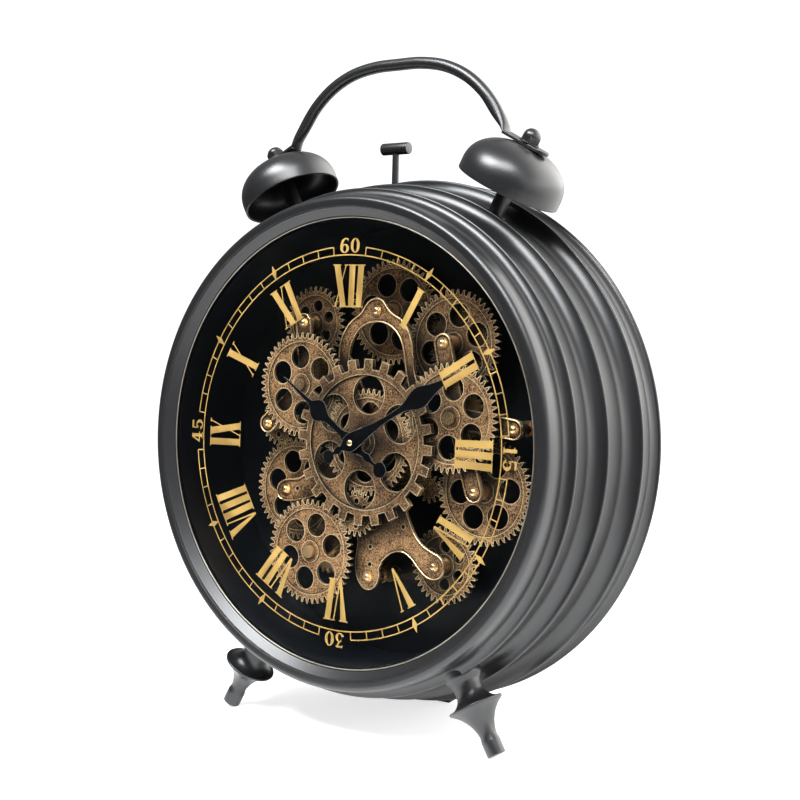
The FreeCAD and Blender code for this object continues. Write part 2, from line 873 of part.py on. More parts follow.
def arbor(spot, pin_front, rear_gear=None):
    """Stepped arbor with its hub pin and, if there is one, its rear pinion."""
    wheel_back = front_layer + wheel_thick
    plate_back = plate_front + plate_thick
    floor_back = pan_floor + pan_floor_thick
    corners = [
        (0, pin_front), (journal_fit_radius, pin_front), (journal_fit_radius, wheel_back),
        (shaft_radius, wheel_back), (shaft_radius, plate_front - loose_fit),
        (journal_fit_radius, plate_front - loose_fit), (journal_fit_radius, plate_back + loose_fit),
        (shaft_radius, plate_back + loose_fit), (shaft_radius, pan_floor - loose_fit),
        (journal_fit_radius, pan_floor - loose_fit), (journal_fit_radius, floor_back + arbor_tail),
        (0, floor_back + arbor_tail),
    ]
    if pin_front < front_layer:
        corners[1] = (hub_pin_radius, pin_front)
        corners.insert(2, (hub_pin_radius, front_layer))
        corners.insert(3, (journal_fit_radius, front_layer))
    shaft = turned_inward(corners, spot)
    if rear_gear is None:
        return shaft
    return shaft.fuse(rear_gear)


def wheel_two(phase, rear_phase):
    """Wheel with a shorter pinion fixed behind it on the same hub, turning on its pillar."""
    bore = journal_radius + running_fit
    front_part = fine_wheel(two_spot, fine_teeth, phase, middle_layer, bore, two_web_turn)
    hub = tube(hub_radius, bore, middle_layer + wheel_thick, rear_layer, two_spot)
    wires = [moved_wire(tooth_outline(two_rear_teeth, rear_phase), two_spot), ring_wire(bore, two_spot)]
    return joined([front_part, hub, slab(wires, rear_layer, wheel_thick)])


def train_wheels():
    """Every toothed wheel and arbor with its phase worked out from the one that drives it."""
    fine, lesser, small = fine_teeth, lesser_teeth, small_teeth
    bore = journal_radius + running_fit
    ten = meshing_phase(0, fine, ten_direction, fine)
    three = meshing_phase(0, fine, three_direction, fine)
    six = meshing_phase(0, fine, six_direction, small)
    seven = meshing_phase(six, small, seven_direction, fine)
    eight = meshing_phase(0, rear_teeth, eight_direction, fine)
    nine = meshing_phase(eight, fine, nine_direction, small)
    eleven = meshing_phase(0, ten_rear_teeth, eleven_direction, lesser)
    two = meshing_phase(0, rear_teeth, two_direction, fine)
    four = meshing_phase(0, rear_teeth, four_direction, fine)
    five = meshing_phase(four, fine, five_direction, lesser)
    twelve = meshing_phase(0, two_rear_teeth, twelve_direction, fine)
    motor = meshing_phase(0, fine, motor_direction, motor_teeth)
    pin = front_layer - hub_pin_height
    hub = journal_fit_radius
    floor_back = motor_shaft_back
    return {
        "chunky_wheel": chunky_wheel(),
        "centre_fine_wheel": fine_wheel(centre_spot, fine, 0, front_layer, sleeve_radius, centre_web_turn),
        "drive_wheel": fine_wheel(centre_spot, fine, 0, drive_layer, sleeve_radius, centre_web_turn),
        "centre_sleeve": tube(sleeve_radius, tube_radius + running_fit, sleeve_front, sleeve_back),
        "wheel_ten": fine_wheel(ten_spot, fine, ten, front_layer, hub, ten_web_turn),
        "arbor_ten": arbor(ten_spot, pin, plain_gear(ten_spot, ten_rear_teeth, 0, middle_layer)),
        "wheel_three": fine_wheel(three_spot, fine, three, front_layer, hub, three_web_turn),
        "arbor_three": arbor(three_spot, pin, plain_gear(three_spot, rear_teeth, 0, middle_layer)),
        "pinion_six": joined([small_wheel(six_spot, six, front_layer, hub), arbor(six_spot, front_layer)]),
        "wheel_seven": fine_wheel(seven_spot, fine, seven, front_layer, hub, seven_web_turn),
        "arbor_seven": arbor(seven_spot, pin, plain_gear(seven_spot, rear_teeth, 0, middle_layer)),
        "wheel_eight": fine_wheel(eight_spot, fine, eight, middle_layer, bore, eight_web_turn),
        "pinion_nine": small_wheel(nine_spot, nine, middle_layer, bore),
        "wheel_eleven": fine_wheel(eleven_spot, lesser, eleven, middle_layer, bore, eleven_web_turn),
        "wheel_two": wheel_two(two, 0),
        "wheel_four": fine_wheel(four_spot, fine, four, middle_layer, bore, four_web_turn),
        "wheel_five": fine_wheel(five_spot, lesser, five, middle_layer, bore, five_web_turn),
        "wheel_twelve": fine_wheel(twelve_spot, fine, twelve, rear_layer, bore, twelve_web_turn),
        "motor_pinion": joined([plain_gear(motor_spot, motor_teeth, motor, drive_layer),
                                rod(motor_shaft_radius, drive_layer, floor_back, motor_spot)]),
    }


# Stamped plate, rims, pillars and screws


def arm_wire(start, end, half_width):
    """Long outline with round ends between two spots."""
    angle = math.atan2(end[1] - start[1], end[0] - start[0])
    side_x, side_z = polar(half_width, angle + math.pi / 2)
    nose_x, nose_z = polar(half_width, angle)
    return section([
        (start[0] - side_x, start[1] - side_z), (end[0] - side_x, end[1] - side_z),
        ((end[0] + nose_x, end[1] + nose_z), (end[0] + side_x, end[1] + side_z)),
        (start[0] + side_x, start[1] + side_z),
        ((start[0] - nose_x, start[1] - nose_z), (start[0] - side_x, start[1] - side_z)),
    ])


def curved_outline(curves):
    """Closed outline of smooth curves joined by straight lines."""
    edges = []
    for number, corners in enumerate(curves):
        edges.append(smooth_curve(corners))
        following = curves[(number + 1) % len(curves)]
        if corners[-1] != following[0]:
            edges.append(Part.makeLine(flat_point(corners[-1]), flat_point(following[0])))
    return Part.Wire(Part.__sortEdges__(edges))


def plate_arms():
    """Straight arms of the plate as pairs of ends, the outer end last."""
    return (
        (ten_spot, eleven_spot), (three_spot, two_spot), (three_spot, three_screw_spot),
        (three_spot, four_spot), (ten_spot, nine_spot),
    )


def train_plate():
    """One stamped plate: centre disc, arms, arch and two-footed bracket, with its holes."""
    wires = [ring_wire(centre_disc_radius)]
    wires += [arm_wire(start, end, arm_half_width) for start, end in plate_arms()]
    wires += [arm_wire(centre_spot, spot, lobe_half_width) for spot in arbor_spots]
    wires += [arm_wire(centre_spot, eight_arm_root(), lobe_half_width),
              arm_wire(six_spot, seven_spot, lobe_half_width)]
    wires += [arm_wire(centre_spot, foot, lobe_half_width) for foot in arch_feet()]
    wires += [curved_outline([on_train(arch_outer_shares), on_train(arch_inner_shares)])]
    wires += [curved_outline([on_train(eight_arm_shares)])]
    wires += [curved_outline([on_train(bracket_left_shares), on_train(bracket_top_shares)])]
    plate = joined([slab([wire], plate_front, plate_thick) for wire in wires])
    cuts = []
    back = plate_front + plate_thick + overrun
    for spot in screw_spots:
        cuts.append(rod(screw_radius, plate_front - overrun, back, spot))
    for spot in arbor_spots:
        cuts.append(rod(journal_fit_radius + running_fit, plate_front - overrun, back, spot))
    for spot in on_train(plate_hole_shares):
        cuts.append(rod(plate_hole_radius, plate_front - overrun, back, spot))
    cuts.append(rod(sleeve_radius + loose_fit, plate_front - overrun, back))
    return plate.cut(cuts)


def arch_feet():
    """Where the two legs of the arch meet the plate's middle."""
    outer = on_train(arch_outer_shares)
    inner = on_train(arch_inner_shares)
    left = ((outer[0][0] + inner[-1][0]) / 2, (outer[0][1] + inner[-1][1]) / 2)
    right = ((outer[-1][0] + inner[0][0]) / 2, (outer[-1][1] + inner[0][1]) / 2)
    return (left, right)


def eight_arm_root():
    """Middle of the inner end of the arm that carries the eight o'clock wheel."""
    outline = on_train(eight_arm_shares)
    return ((outline[0][0] + outline[-1][0]) / 2, (outline[0][1] + outline[-1][1]) / 2)


def wire_along(path):
    """Round wire swept along a flat path, lying on the plate's front face."""
    line = path.copy()
    line.translate(INWARD * (plate_front - rim_wire_radius))
    first = line.OrderedEdges[0]
    start = first.valueAt(first.FirstParameter)
    heading = first.tangentAt(first.FirstParameter)
    profile = Part.Wire(Part.makeCircle(rim_wire_radius, start, heading))
    return line.makePipeShell([profile], True, False)


def arm_rim(start, end):
    """Path along the edge of an arm, round its outer end."""
    angle = math.atan2(end[1] - start[1], end[0] - start[0])
    edge = arm_half_width - rim_wire_radius
    side_x, side_z = polar(edge, angle + math.pi / 2)
    nose_x, nose_z = polar(edge, angle)
    root = ((start[0] + end[0]) / 2, (start[1] + end[1]) / 2)
    low, high = (end[0] - side_x, end[1] - side_z), (end[0] + side_x, end[1] + side_z)
    edges = [
        Part.makeLine(flat_point((root[0] - side_x, root[1] - side_z)), flat_point(low)),
        Part.Arc(flat_point(low), flat_point((end[0] + nose_x, end[1] + nose_z)), flat_point(high)).toShape(),
        Part.makeLine(flat_point(high), flat_point((root[0] + side_x, root[1] + side_z))),
    ]
    return Part.Wire(edges)


def plate_rims():
    """Bright wires that edge the arms, the arch and the bracket."""
    wires = [wire_along(arm_rim(start, end)) for start, end in plate_arms()]
    for shares in (arch_outer_shares, arch_inner_shares, eight_arm_shares, bracket_top_shares):
        wires.append(wire_along(Part.Wire(smooth_curve(on_train(shares)))))
    return group(wires)


def pillar_shoulder(spot):
    """Depth where the thick rear part of the pillar at a spot begins."""
    wheel_back = middle_layer + wheel_thick
    if spot in (two_spot, twelve_spot):
        wheel_back = rear_layer + wheel_thick
    return wheel_back + loose_fit


def wheel_face(spot):
    """Depth of the front of the wheel that turns on the pillar at a spot."""
    if spot == twelve_spot:
        return rear_layer
    return middle_layer


def train_pillars():
    """Stepped pillars riveted to the pan, each with a journal and a threaded front."""
    pillars = []
    plate_back = plate_front + plate_thick
    for spot in screw_spots:
        shoulder = pillar_shoulder(spot)
        pillars.append(turned_inward([
            (screw_radius, plate_back), (journal_radius, plate_back), (journal_radius, shoulder),
            (pillar_radius, shoulder), (pillar_radius, pan_floor), (rivet_radius, pan_floor),
            (rivet_radius, pan_floor + rivet_length), (0, pan_floor + rivet_length),
            (0, plate_front + screw_length), (screw_radius, plate_front + screw_length),
        ], spot))
    return group(pillars)


def train_spacers():
    """Sleeves between the plate and each wheel that turns on a pillar."""
    plate_back = plate_front + plate_thick
    return group([tube(pillar_radius, journal_radius, plate_back, wheel_face(spot) - loose_fit, spot)
                  for spot in screw_spots])


def hexagon(flats):
    """Flat six-sided outline across the given flats."""
    corner_radius = flats / 2 / math.cos(math.radians(30))
    return section([polar(corner_radius, math.radians(60 * number)) for number in range(6)])


def bridge_screws():
    """Flanged hexagon screws with rounded tops that hold the plate on its pillars."""
    screws = []
    seat = plate_front - plate_washer_thick
    head = slab([hexagon(screw_head_radius * 2)], seat - screw_head_thick, screw_head_thick)
    for spot in screw_spots:
        stem = turned_inward([
            (0, seat - screw_head_thick - screw_dome),
            ((screw_head_radius * crown_middle_share,
              seat - screw_head_thick - screw_dome * crown_rise_share),
             (screw_head_radius * crown_edge_share, seat - screw_head_thick)),
            (screw_radius, seat - screw_head_thick), (screw_radius, plate_front + screw_length),
            (0, plate_front + screw_length),
        ], spot)
        placed_head = head.copy()
        placed_head.translate(flat_point(spot))
        flange = rod(plate_washer_radius, seat, plate_front, spot)
        screws.append(joined([stem, placed_head, flange]))
    return group(screws)


def centre_tube():
    """Fixed tube the centre sleeve turns on, with its flange against the pan."""
    floor_back = pan_floor + pan_floor_thick
    bore = pipe_radius + running_fit
    return turned_inward([
        (bore, tube_front), (tube_radius, tube_front), (tube_radius, sleeve_back + loose_fit),
        (tube_flange_radius, sleeve_back + loose_fit), (tube_flange_radius, pan_floor),
        (tube_radius, pan_floor), (tube_radius, floor_back), (bore, floor_back),
    ])


def centre_nut():
    """Round nut that keeps the sleeve on the tube."""
    back = sleeve_front - loose_fit
    return tube(nut_radius, tube_radius, back - nut_thick, back)


# Hands


def hand_wires(outline_shares, length, tail, tail_radius, bore, direction):
    """Spade hand with a hub, a neck and a round tail, turned clockwise from the top."""
    upper = [(share * length, width * hub_half_width) for share, width in outline_shares[1:]]
    lower = [(-share * tail, width * hub_half_width) for share, width in tail_outline_shares[1:]]
    right = [(width, along) for along, width in upper]
    left = [(-width, along) for along, width in reversed(upper)]
    tail_right = [(width, along) for along, width in reversed(lower)]
    tail_left = [(-width, along) for along, width in lower]
    outline = tail_right + [(hub_half_width, 0)] + right
    mirrored = left + [(-hub_half_width, 0)] + tail_left
    edges = [smooth_curve(outline), Part.makeLine(flat_point(outline[-1]), flat_point(mirrored[0])),
             smooth_curve(mirrored), Part.makeLine(flat_point(mirrored[-1]), flat_point(outline[0]))]
    wires = [Part.Wire(edges), ring_wire(tail_radius, (0, -tail)), ring_wire(bore)]
    for wire in wires:
        wire.rotate(ORIGIN, INWARD, direction)
    return wires


def hand(outline_shares, length, tail, tail_radius, bore, direction, front):
    """Flat hand with its tail disc and bore."""
    blade, disc, hole = hand_wires(outline_shares, length, tail, tail_radius, bore, direction)
    plate = slab([blade], front, hand_thick).fuse(slab([disc], front, hand_thick)).removeSplitter()
    return plate.cut(slab([hole], front - overrun, hand_thick + overrun * 2))


def minute_arbor():
    """Thin arbor with the small domed cap that holds the minute hand on it."""
    return turned_inward([
        (0, minute_front - cap_height),
        ((cap_radius * cap_middle_share, minute_front - cap_height * cap_rise_share),
         (cap_radius, minute_front - cap_height * cap_edge_share)),
        (cap_radius, minute_front), (arbor_radius, minute_front), (arbor_radius, arbor_back), (0, arbor_back),
    ])


# Movement, motor, knob and cover


def quartz_movement():
    """Moulded movement with bores for the hand shafts and the setting shaft."""
    front = pan_floor + pan_floor_thick
    half = movement_width / 2
    body = block(-half, half, front, front + movement_thick, -half, half)
    hollow = block(-half + case_wall, half - case_wall, front + case_wall,
                   front + movement_thick - case_wall, -half + case_wall, half - case_wall)
    post = rod(pillar_radius, front + case_wall, front + movement_thick - case_wall)
    knob_post = rod(journal_radius, front + case_wall, front + movement_thick - case_wall, (knob_offset, 0))
    body = joined([body.cut(hollow), post, knob_post])
    return body.cut([
        rod(pipe_radius + running_fit, front - overrun, pipe_back + loose_fit),
        rod(arbor_radius + running_fit, front, arbor_back + loose_fit),
        rod(knob_shaft_radius + running_fit, knob_shaft_front - loose_fit, drum_back, (knob_offset, 0)),
    ])


def gear_motor():
    """Small gear motor behind the pan, its shaft bore near one edge, with two fixing ears."""
    front = pan_floor + pan_floor_thick
    left = motor_spot[0] - motor_offset
    low = motor_spot[1] - motor_height / 2
    high = motor_spot[1] + motor_height / 2
    body = block(left, left + motor_width, front, front + motor_thick, low, high)
    middle = left + motor_width / 2
    back = front + ear_thick
    ears = [block(middle - motor_ear, middle + motor_ear, front, back, low - motor_ear * 2, low),
            block(middle - motor_ear, middle + motor_ear, front, back, high, high + motor_ear * 2)]
    motor = joined([body] + ears)
    cuts = [rod(motor_shaft_radius + running_fit, front - overrun, motor_shaft_back + loose_fit, motor_spot)]
    cuts += [rod(ear_screw_radius, front - overrun, front + overrun, spot) for spot in ear_screw_spots()]
    return motor.cut(cuts)


def ear_screw_spots():
    """Places of the two motor screws."""
    middle = motor_spot[0] - motor_offset + motor_width / 2
    reach = motor_height / 2 + motor_ear
    return ((middle, motor_spot[1] - reach), (middle, motor_spot[1] + reach))


def motor_screws():
    """Pan-head screws through the motor's ears into the pan."""
    front = pan_floor + pan_floor_thick
    head_front = front + ear_thick
    return group([turned_inward([
        (0, front), (ear_screw_radius, front), (ear_screw_radius, head_front), (ear_screw_head, head_front),
        (ear_screw_head, head_front + ear_thick), (0, head_front + ear_thick),
    ], spot) for spot in ear_screw_spots()])


def setting_knob():
    """Fluted knob and its shaft for setting the hands."""
    spot = (knob_offset, 0)
    knob = joined([rod(knob_radius, knob_front, knob_front + knob_thick, spot),
                   rod(knob_shaft_radius, knob_shaft_front, knob_front, spot)])
    flutes = []
    for number in range(knob_flutes):
        x, z = polar(knob_radius, 2 * math.pi * number / knob_flutes)
        flutes.append(rod(flute_radius, knob_front - overrun, knob_front + knob_thick + overrun,
                          (spot[0] + x, spot[1] + z)))
    return knob.cut(flutes)


def cover_screw_spots():
    """Places of the cover screws round the rear lip."""
    return [polar(cover_screw_circle, math.pi * (2 * number + 1) / cover_screws_count)
            for number in range(cover_screws_count)]


def tray_half_length():
    """Half the inside length of the battery tray."""
    return (cell_length + cell_nub + contact_spring + contact_thick * 2) / 2


def tray_half_height():
    """Half the inside height of the battery tray."""
    return cell_pitch * (cell_count - 1) / 2 + cell_radius + loose_fit


def back_cover():
    """Round cover with the battery window, door rails, knob hole and switch slot."""
    back = drum_back + cover_thick
    cover = rod(cover_radius, drum_back, back)
    side = tray_half_length() + door_side
    low = tray_centre - tray_half_height() - door_side
    high = tray_centre + tray_half_height() + door_side
    rail_back = back + loose_fit + door_thick + loose_fit
    wall = block(side + loose_fit, side + loose_fit + rail_width, back, rail_back, low, high)
    lip = block(side - rail_width, side + loose_fit + rail_width, rail_back, rail_back + cover_thick,
                low, high)
    stop = block(-side - loose_fit - rail_width, side + loose_fit + rail_width, back, rail_back,
                 high + loose_fit, high + loose_fit + rail_width)
    cover = joined([cover, stop] + both_sides(joined([wall, lip])))
    cuts = [
        block(-tray_half_length(), tray_half_length(), drum_back - overrun, back + overrun,
              tray_centre - tray_half_height(), tray_centre + tray_half_height()),
        rod(knob_shaft_radius + loose_fit, drum_back - overrun, back + overrun, (knob_offset, 0)),
        block(switch_x - slider_width / 2 - loose_fit, switch_x + slider_width / 2 + loose_fit,
              drum_back - overrun, back + overrun,
              switch_z - slider_width / 2 - switch_travel - loose_fit,
              switch_z + slider_width / 2 + switch_travel + loose_fit),
    ]
    for spot in cover_screw_spots():
        cuts.append(rod(cover_screw_radius, drum_back - overrun, back + overrun, spot))
    return cover.cut(cuts)


def cover_screws():
    """Screws that hold the back cover on the rear lip."""
    back = drum_back + cover_thick
    front = drum_back - sheet - cover_screw_head_thick
    return group([turned_inward([
        (0, front), (cover_screw_radius, front), (cover_screw_radius, back), (cover_screw_head, back),
        (cover_screw_head, back + cover_screw_head_thick / 2),
        (cover_screw_head / 2, back + cover_screw_head_thick), (0, back + cover_screw_head_thick),
    ], spot) for spot in cover_screw_spots()])


def battery_tray():
    """Open box on the inside of the cover that holds the cells."""
    inner_x, inner_z = tray_half_length(), tray_half_height()
    front = drum_back - tray_depth
    outer = block(-inner_x - tray_wall, inner_x + tray_wall, front, drum_back,
                  tray_centre - inner_z - tray_wall, tray_centre + inner_z + tray_wall)
    inner = block(-inner_x, inner_x, front + tray_wall, drum_back + overrun,
                  tray_centre - inner_z, tray_centre + inner_z)
    return outer.cut(inner)


def cell_rows():
    """Height of each cell and which way its nub points."""
    return [(tray_centre + (number - (cell_count - 1) / 2) * cell_pitch, 1 - 2 * (number % 2))
            for number in range(cell_count)]


def cell_depth():
    """Depth of the cells' axes, a little off the tray's floor."""
    return drum_back - tray_depth + tray_wall + cell_radius


def battery_cells():
    """Three round cells, laid side by side with their ends alternating."""
    cells = []
    end = tray_half_length() - contact_thick
    for height, way in cell_rows():
        profile = turned([
            (0, end - cell_nub - cell_length), (cell_radius, end - cell_nub - cell_length),
            (cell_radius, end - cell_nub), (cell_nub_radius, end - cell_nub), (cell_nub_radius, end),
            (0, end),
        ])
        profile.rotate(ORIGIN, INWARD, 90 * way)
        profile.translate(FreeCAD.Vector(0, cell_depth(), height))
        cells.append(profile)
    return group(cells)


def battery_contacts():
    """Contact plates at both ends of each cell, the flat end's plate with a small spring stub."""
    contacts = []
    end = tray_half_length()
    half = contact_width / 2
    depth = cell_depth()
    for height, way in cell_rows():
        for side in (-1, 1):
            outer = side * end
            inner = side * (end - contact_thick)
            plate = block(min(outer, inner), max(outer, inner), depth - half, depth + half,
                          height - half, height + half)
            if side != way:
                start = FreeCAD.Vector(inner, depth, height)
                stub = Part.makeCone(half * spring_foot_share, half * spring_tip_share, contact_spring, start,
                                     ACROSS * -side)
                plate = plate.fuse(stub)
            contacts.append(plate)
    return group(contacts)


def battery_door():
    """Sliding plate over the cells with finger ridges."""
    side = tray_half_length() + door_side
    front = drum_back + cover_thick + loose_fit
    low = tray_centre - tray_half_height() - door_side
    high = tray_centre + tray_half_height() + door_side
    door = block(-side, side, front, front + door_thick, low, high)
    ridges = []
    for number in range(grip_ridges):
        ridge_high = high - door_side - number * grip_thick * 2
        ridges.append(block(-grip_width / 2, grip_width / 2, front + door_thick,
                            front + door_thick + grip_height, ridge_high - grip_thick, ridge_high))
    return joined([door] + ridges)


def gear_switch():
    """Slider of the switch that stops and starts the wheels."""
    back = drum_back - loose_fit
    half = slider_length / 2
    plate = block(switch_x - half, switch_x + half, back - slider_width / 2 + loose_fit, back,
                  switch_z - half, switch_z + half)
    half = slider_width / 2
    stem = block(switch_x - half, switch_x + half, back, drum_back + cover_thick + slider_rise,
                 switch_z - half, switch_z + half)
    return joined([plate, stem])


def switch_body():
    """Fixed body of the switch, held to the cover by a pad at each end."""
    back = drum_back - slider_width / 2 - loose_fit
    half_x, half_z = switch_body_width / 2, switch_body_length / 2
    body = block(switch_x - half_x, switch_x + half_x, back - switch_body_thick, back,
                 switch_z - half_z, switch_z + half_z)
    pad_length = half_z - slider_length / 2 - switch_travel - loose_fit
    pads = [block(switch_x - half_x, switch_x + half_x, back, drum_back,
                  switch_z + half_z - pad_length, switch_z + half_z),
            block(switch_x - half_x, switch_x + half_x, back, drum_back,
                  switch_z - half_z, switch_z - half_z + pad_length)]
    return joined([body] + pads)


# Bells, handle, hammer and feet


def dome_curve(radius, height, rise, inner):
    """Points of a bell's curve from the top hole down to where its straight skirt starts."""
    points = []
    for number in range(dome_steps + 1):
        angle = math.pi / 2 * number / dome_steps
        across = radius * math.sin(angle) ** (2 / bell_roundness)
        up = (height - bell_skirt) * math.cos(angle) ** (2 / bell_roundness)
        points.append((max(across, inner), rise + bell_skirt + up))
    return points


def bell():
    """Pressed bell shell with a hole at its crown, open towards the drum."""
    hole = thread_radius
    outer = dome_curve(bell_radius, bell_height, bell_rim_distance, hole)
    inner = dome_curve(bell_radius - bell_wall, bell_height - bell_wall, bell_rim_distance, hole)
    outer_top = (hole, outer[0][1])
    inner_top = (hole, inner[0][1])
    outer = [outer_top] + [point for point in outer if point[0] > hole]
    inner = [inner_top] + [point for point in inner if point[0] > hole]
    edges = [
        smooth_curve(outer),
        Part.makeLine(flat_point(outer[-1]), flat_point((bell_radius, bell_rim_distance))),
        Part.makeLine(flat_point((bell_radius, bell_rim_distance)),
                      flat_point((bell_radius - bell_wall, bell_rim_distance))),
        Part.makeLine(flat_point((bell_radius - bell_wall, bell_rim_distance)), flat_point(inner[-1])),
        smooth_curve(inner),
        Part.makeLine(flat_point(inner_top), flat_point(outer_top)),
    ]
    shell = Part.Face(Part.Wire(Part.__sortEdges__(edges))).revolve(ORIGIN, UPWARD, 360)
    return set_out(shell, bell_depth, bell_angle)


def nut_seat():
    """Distance at which the acorn nut sits on its washer."""
    return bell_top + tab_thick + washer_thick


def bell_posts():
    """Posts from the drum up into the bells, each with a threaded end and a nut inside the drum."""
    inner_crown = bell_top - bell_wall - crown_fall
    post = turned([
        (0, stud_start), (post_foot_radius, stud_start), (post_foot_radius, post_foot_height),
        (post_radius, post_foot_height),
        (post_radius, inner_crown), (thread_radius, inner_crown),
        (thread_radius, nut_seat() + acorn_hex), (0, nut_seat() + acorn_hex),
    ])
    fitted = set_out(post, bell_depth, bell_angle).cut(drum_block())
    stud = turned([(0, stud_start), (thread_radius, stud_start), (thread_radius, post_foot_height),
                   (0, post_foot_height)])
    bolt = set_out(joined([stud, stud_nut(third_band_radius)]), bell_depth, bell_angle)
    return group(both_sides(joined([fitted, bolt])))


def nut_washers():
    """Washers between the handle's ends and the acorn nuts."""
    seat = bell_top + tab_thick
    washer = Part.makeCylinder(washer_radius, washer_thick, UPWARD * seat)
    washer = washer.cut(Part.makeCylinder(thread_radius, overrun * 2, UPWARD * (seat - overrun)))
    return group(both_sides(set_out(washer, bell_depth, bell_angle)))


def acorn_nuts():
    """Six-sided nuts with domed tops."""
    seat = nut_seat()
    base = hexagon(acorn_flats)
    base.rotate(ORIGIN, ACROSS, 90)
    solid = Part.Face(base).extrude(UPWARD * acorn_hex)
    solid.translate(UPWARD * seat)
    dome_start = seat + acorn_hex
    dome = turned([
        (0, dome_start), (acorn_dome_radius, dome_start),
        ((acorn_dome_radius * acorn_middle_share, dome_start + acorn_top * acorn_rise_share),
         (0, dome_start + acorn_top)),
    ])
    nut = joined([solid, dome])
    nut = nut.cut(Part.makeCylinder(thread_radius, acorn_hex + overrun, UPWARD * (seat - overrun)))
    return group(both_sides(set_out(nut, bell_depth, bell_angle)))


def oval_wire(middle, heading, half_wide, half_thick):
    """Closed oval round a centreline point, widest into the clock."""
    side = heading.cross(INWARD)
    side.normalize()
    points = []
    for number in range(oval_points):
        angle = 2 * math.pi * number / oval_points
        points.append(middle + INWARD * (half_wide * math.cos(angle)) + side * (half_thick * math.sin(angle)))
    curve = Part.BSplineCurve()
    curve.interpolate(points, True)
    return Part.Wire(curve.toShape())


def handle_tab():
    """Flat end of the handle lying on the bell's crown, with a round outer end and a hole."""
    seat = bell_top
    plate = Part.makeBox(tab_inner + tab_outer - tab_half_width, tab_half_width * 2, tab_thick,
                         FreeCAD.Vector(-tab_inner, -tab_half_width, seat))
    end = Part.makeCylinder(tab_half_width, tab_thick, FreeCAD.Vector(tab_outer - tab_half_width, 0, seat))
    tab = plate.fuse(end).removeSplitter()
    tab = tab.cut(Part.makeCylinder(thread_radius, overrun * 2, UPWARD * (seat - overrun)))
    return set_out(tab, bell_depth, bell_angle)


def handle():
    """Round rod bent over the clock in two like halves, each flattened into a tab on its bell."""
    half = [(across * handle_half_span, handle_foot + up * handle_crown) for across, up in handle_shares]
    left = [(-across, up) for across, up in reversed(half[1:])]
    path = smooth_curve(left + half)
    path.translate(INWARD * bell_depth)
    start = path.FirstParameter
    step = (path.LastParameter - start) / (handle_sections * 2)
    ovals = flattening(path.tangentAt(start))
    for number in range(handle_sections + 1):
        place = start + step * number
        ovals.append(oval_wire(path.valueAt(place), path.tangentAt(place), rod_radius, rod_radius))
    left_half = Part.makeLoft(ovals, True, False).fuse(handle_tab().mirror(ORIGIN, ACROSS))
    return joined([left_half, left_half.mirror(ORIGIN, ACROSS)])


def flattening(bow_heading):
    """Ovals that lead from the left tab up to the rod, which starts in the given heading."""
    tab_heading = FreeCAD.Vector(math.cos(bell_tilt), 0, math.sin(bell_tilt))
    radial = FreeCAD.Vector(-math.sin(bell_tilt), 0, math.cos(bell_tilt))
    tab_start = radial * (bell_top + tab_thick / 2) + tab_heading * tab_inner + INWARD * bell_depth
    tab_end = tab_start - tab_heading * tab_half_width
    neck_rise = handle_foot + neck_shares[1] * handle_crown
    neck = FreeCAD.Vector(-neck_shares[0] * handle_half_span, bell_depth, neck_rise)
    neck_heading = bow_heading * neck_lean + tab_heading * (1 - neck_lean)
    neck_heading.normalize()
    return [
        oval_wire(tab_end, tab_heading, tab_half_width * tab_end_shares[0], tab_thick * tab_end_shares[1]),
        oval_wire(tab_start, tab_heading, tab_half_width * tab_start_shares[0],
                  tab_thick * tab_start_shares[1]),
        oval_wire(neck, neck_heading, (rod_radius + tab_half_width) / 2, neck_half_thick),
    ]


def hammer():
    """Hammer: a level bar on a rod, with the eye it swings on."""
    front = bell_depth - hammer_eye_half
    eye = rod(hammer_eye_radius, front, bell_depth + hammer_eye_half, (0, hammer_pivot))
    stem = Part.makeCylinder(hammer_rod_radius, hammer_height - hammer_pivot,
                             FreeCAD.Vector(0, bell_depth, hammer_pivot))
    bore = rod(hammer_pin_radius + running_fit, front - overrun, bell_depth + overrun, (0, hammer_pivot))
    return joined([eye, stem, hammer_head_bar()]).cut(bore)


def hammer_head_bar():
    """Plain round bar of the hammer's head."""
    start = FreeCAD.Vector(-hammer_head_length / 2, bell_depth, hammer_height)
    return Part.makeCylinder(hammer_head_radius, hammer_head_length, start, ACROSS)


def hammer_bracket():
    """Folded bracket under the drum's top with two cheeks and the pivot pin riveted through them."""
    gap = hammer_eye_half + loose_fit
    cheeks = []
    for front in (bell_depth - gap - cheek_thick, bell_depth + gap):
        cheeks.append(block(-cheek_half_width, cheek_half_width, front, front + cheek_thick,
                            hammer_pivot - hammer_eye_radius, bracket_top))
    plate = block(-bracket_half_length, bracket_half_length, bell_depth - gap - cheek_thick,
                  bell_depth + gap + cheek_thick, bracket_top - bracket_plate, bracket_top)
    shoes = both_sides(block(bracket_half_length - cheek_thick, bracket_half_length,
                             bell_depth - gap - cheek_thick, bell_depth + gap + cheek_thick,
                             bracket_top - bracket_plate, third_band_radius))
    window = block(-slot_half_length, slot_half_length, bell_depth - slot_half_width,
                   bell_depth + slot_half_width, bracket_top - overrun, bracket_top + overrun)
    bracket = joined([plate] + cheeks + shoes).cut(window)
    reach = gap + cheek_thick
    pin = rod(hammer_pin_radius, bell_depth - reach, bell_depth + reach, (0, hammer_pivot))
    return joined([bracket.common(drum_hollow()), pin])


def drum_hollow():
    """The room inside the drum."""
    inside = drum_inside()[1:-1]
    return turned_inward([(0, inside[0][1])] + inside + [(0, inside[-1][1])])


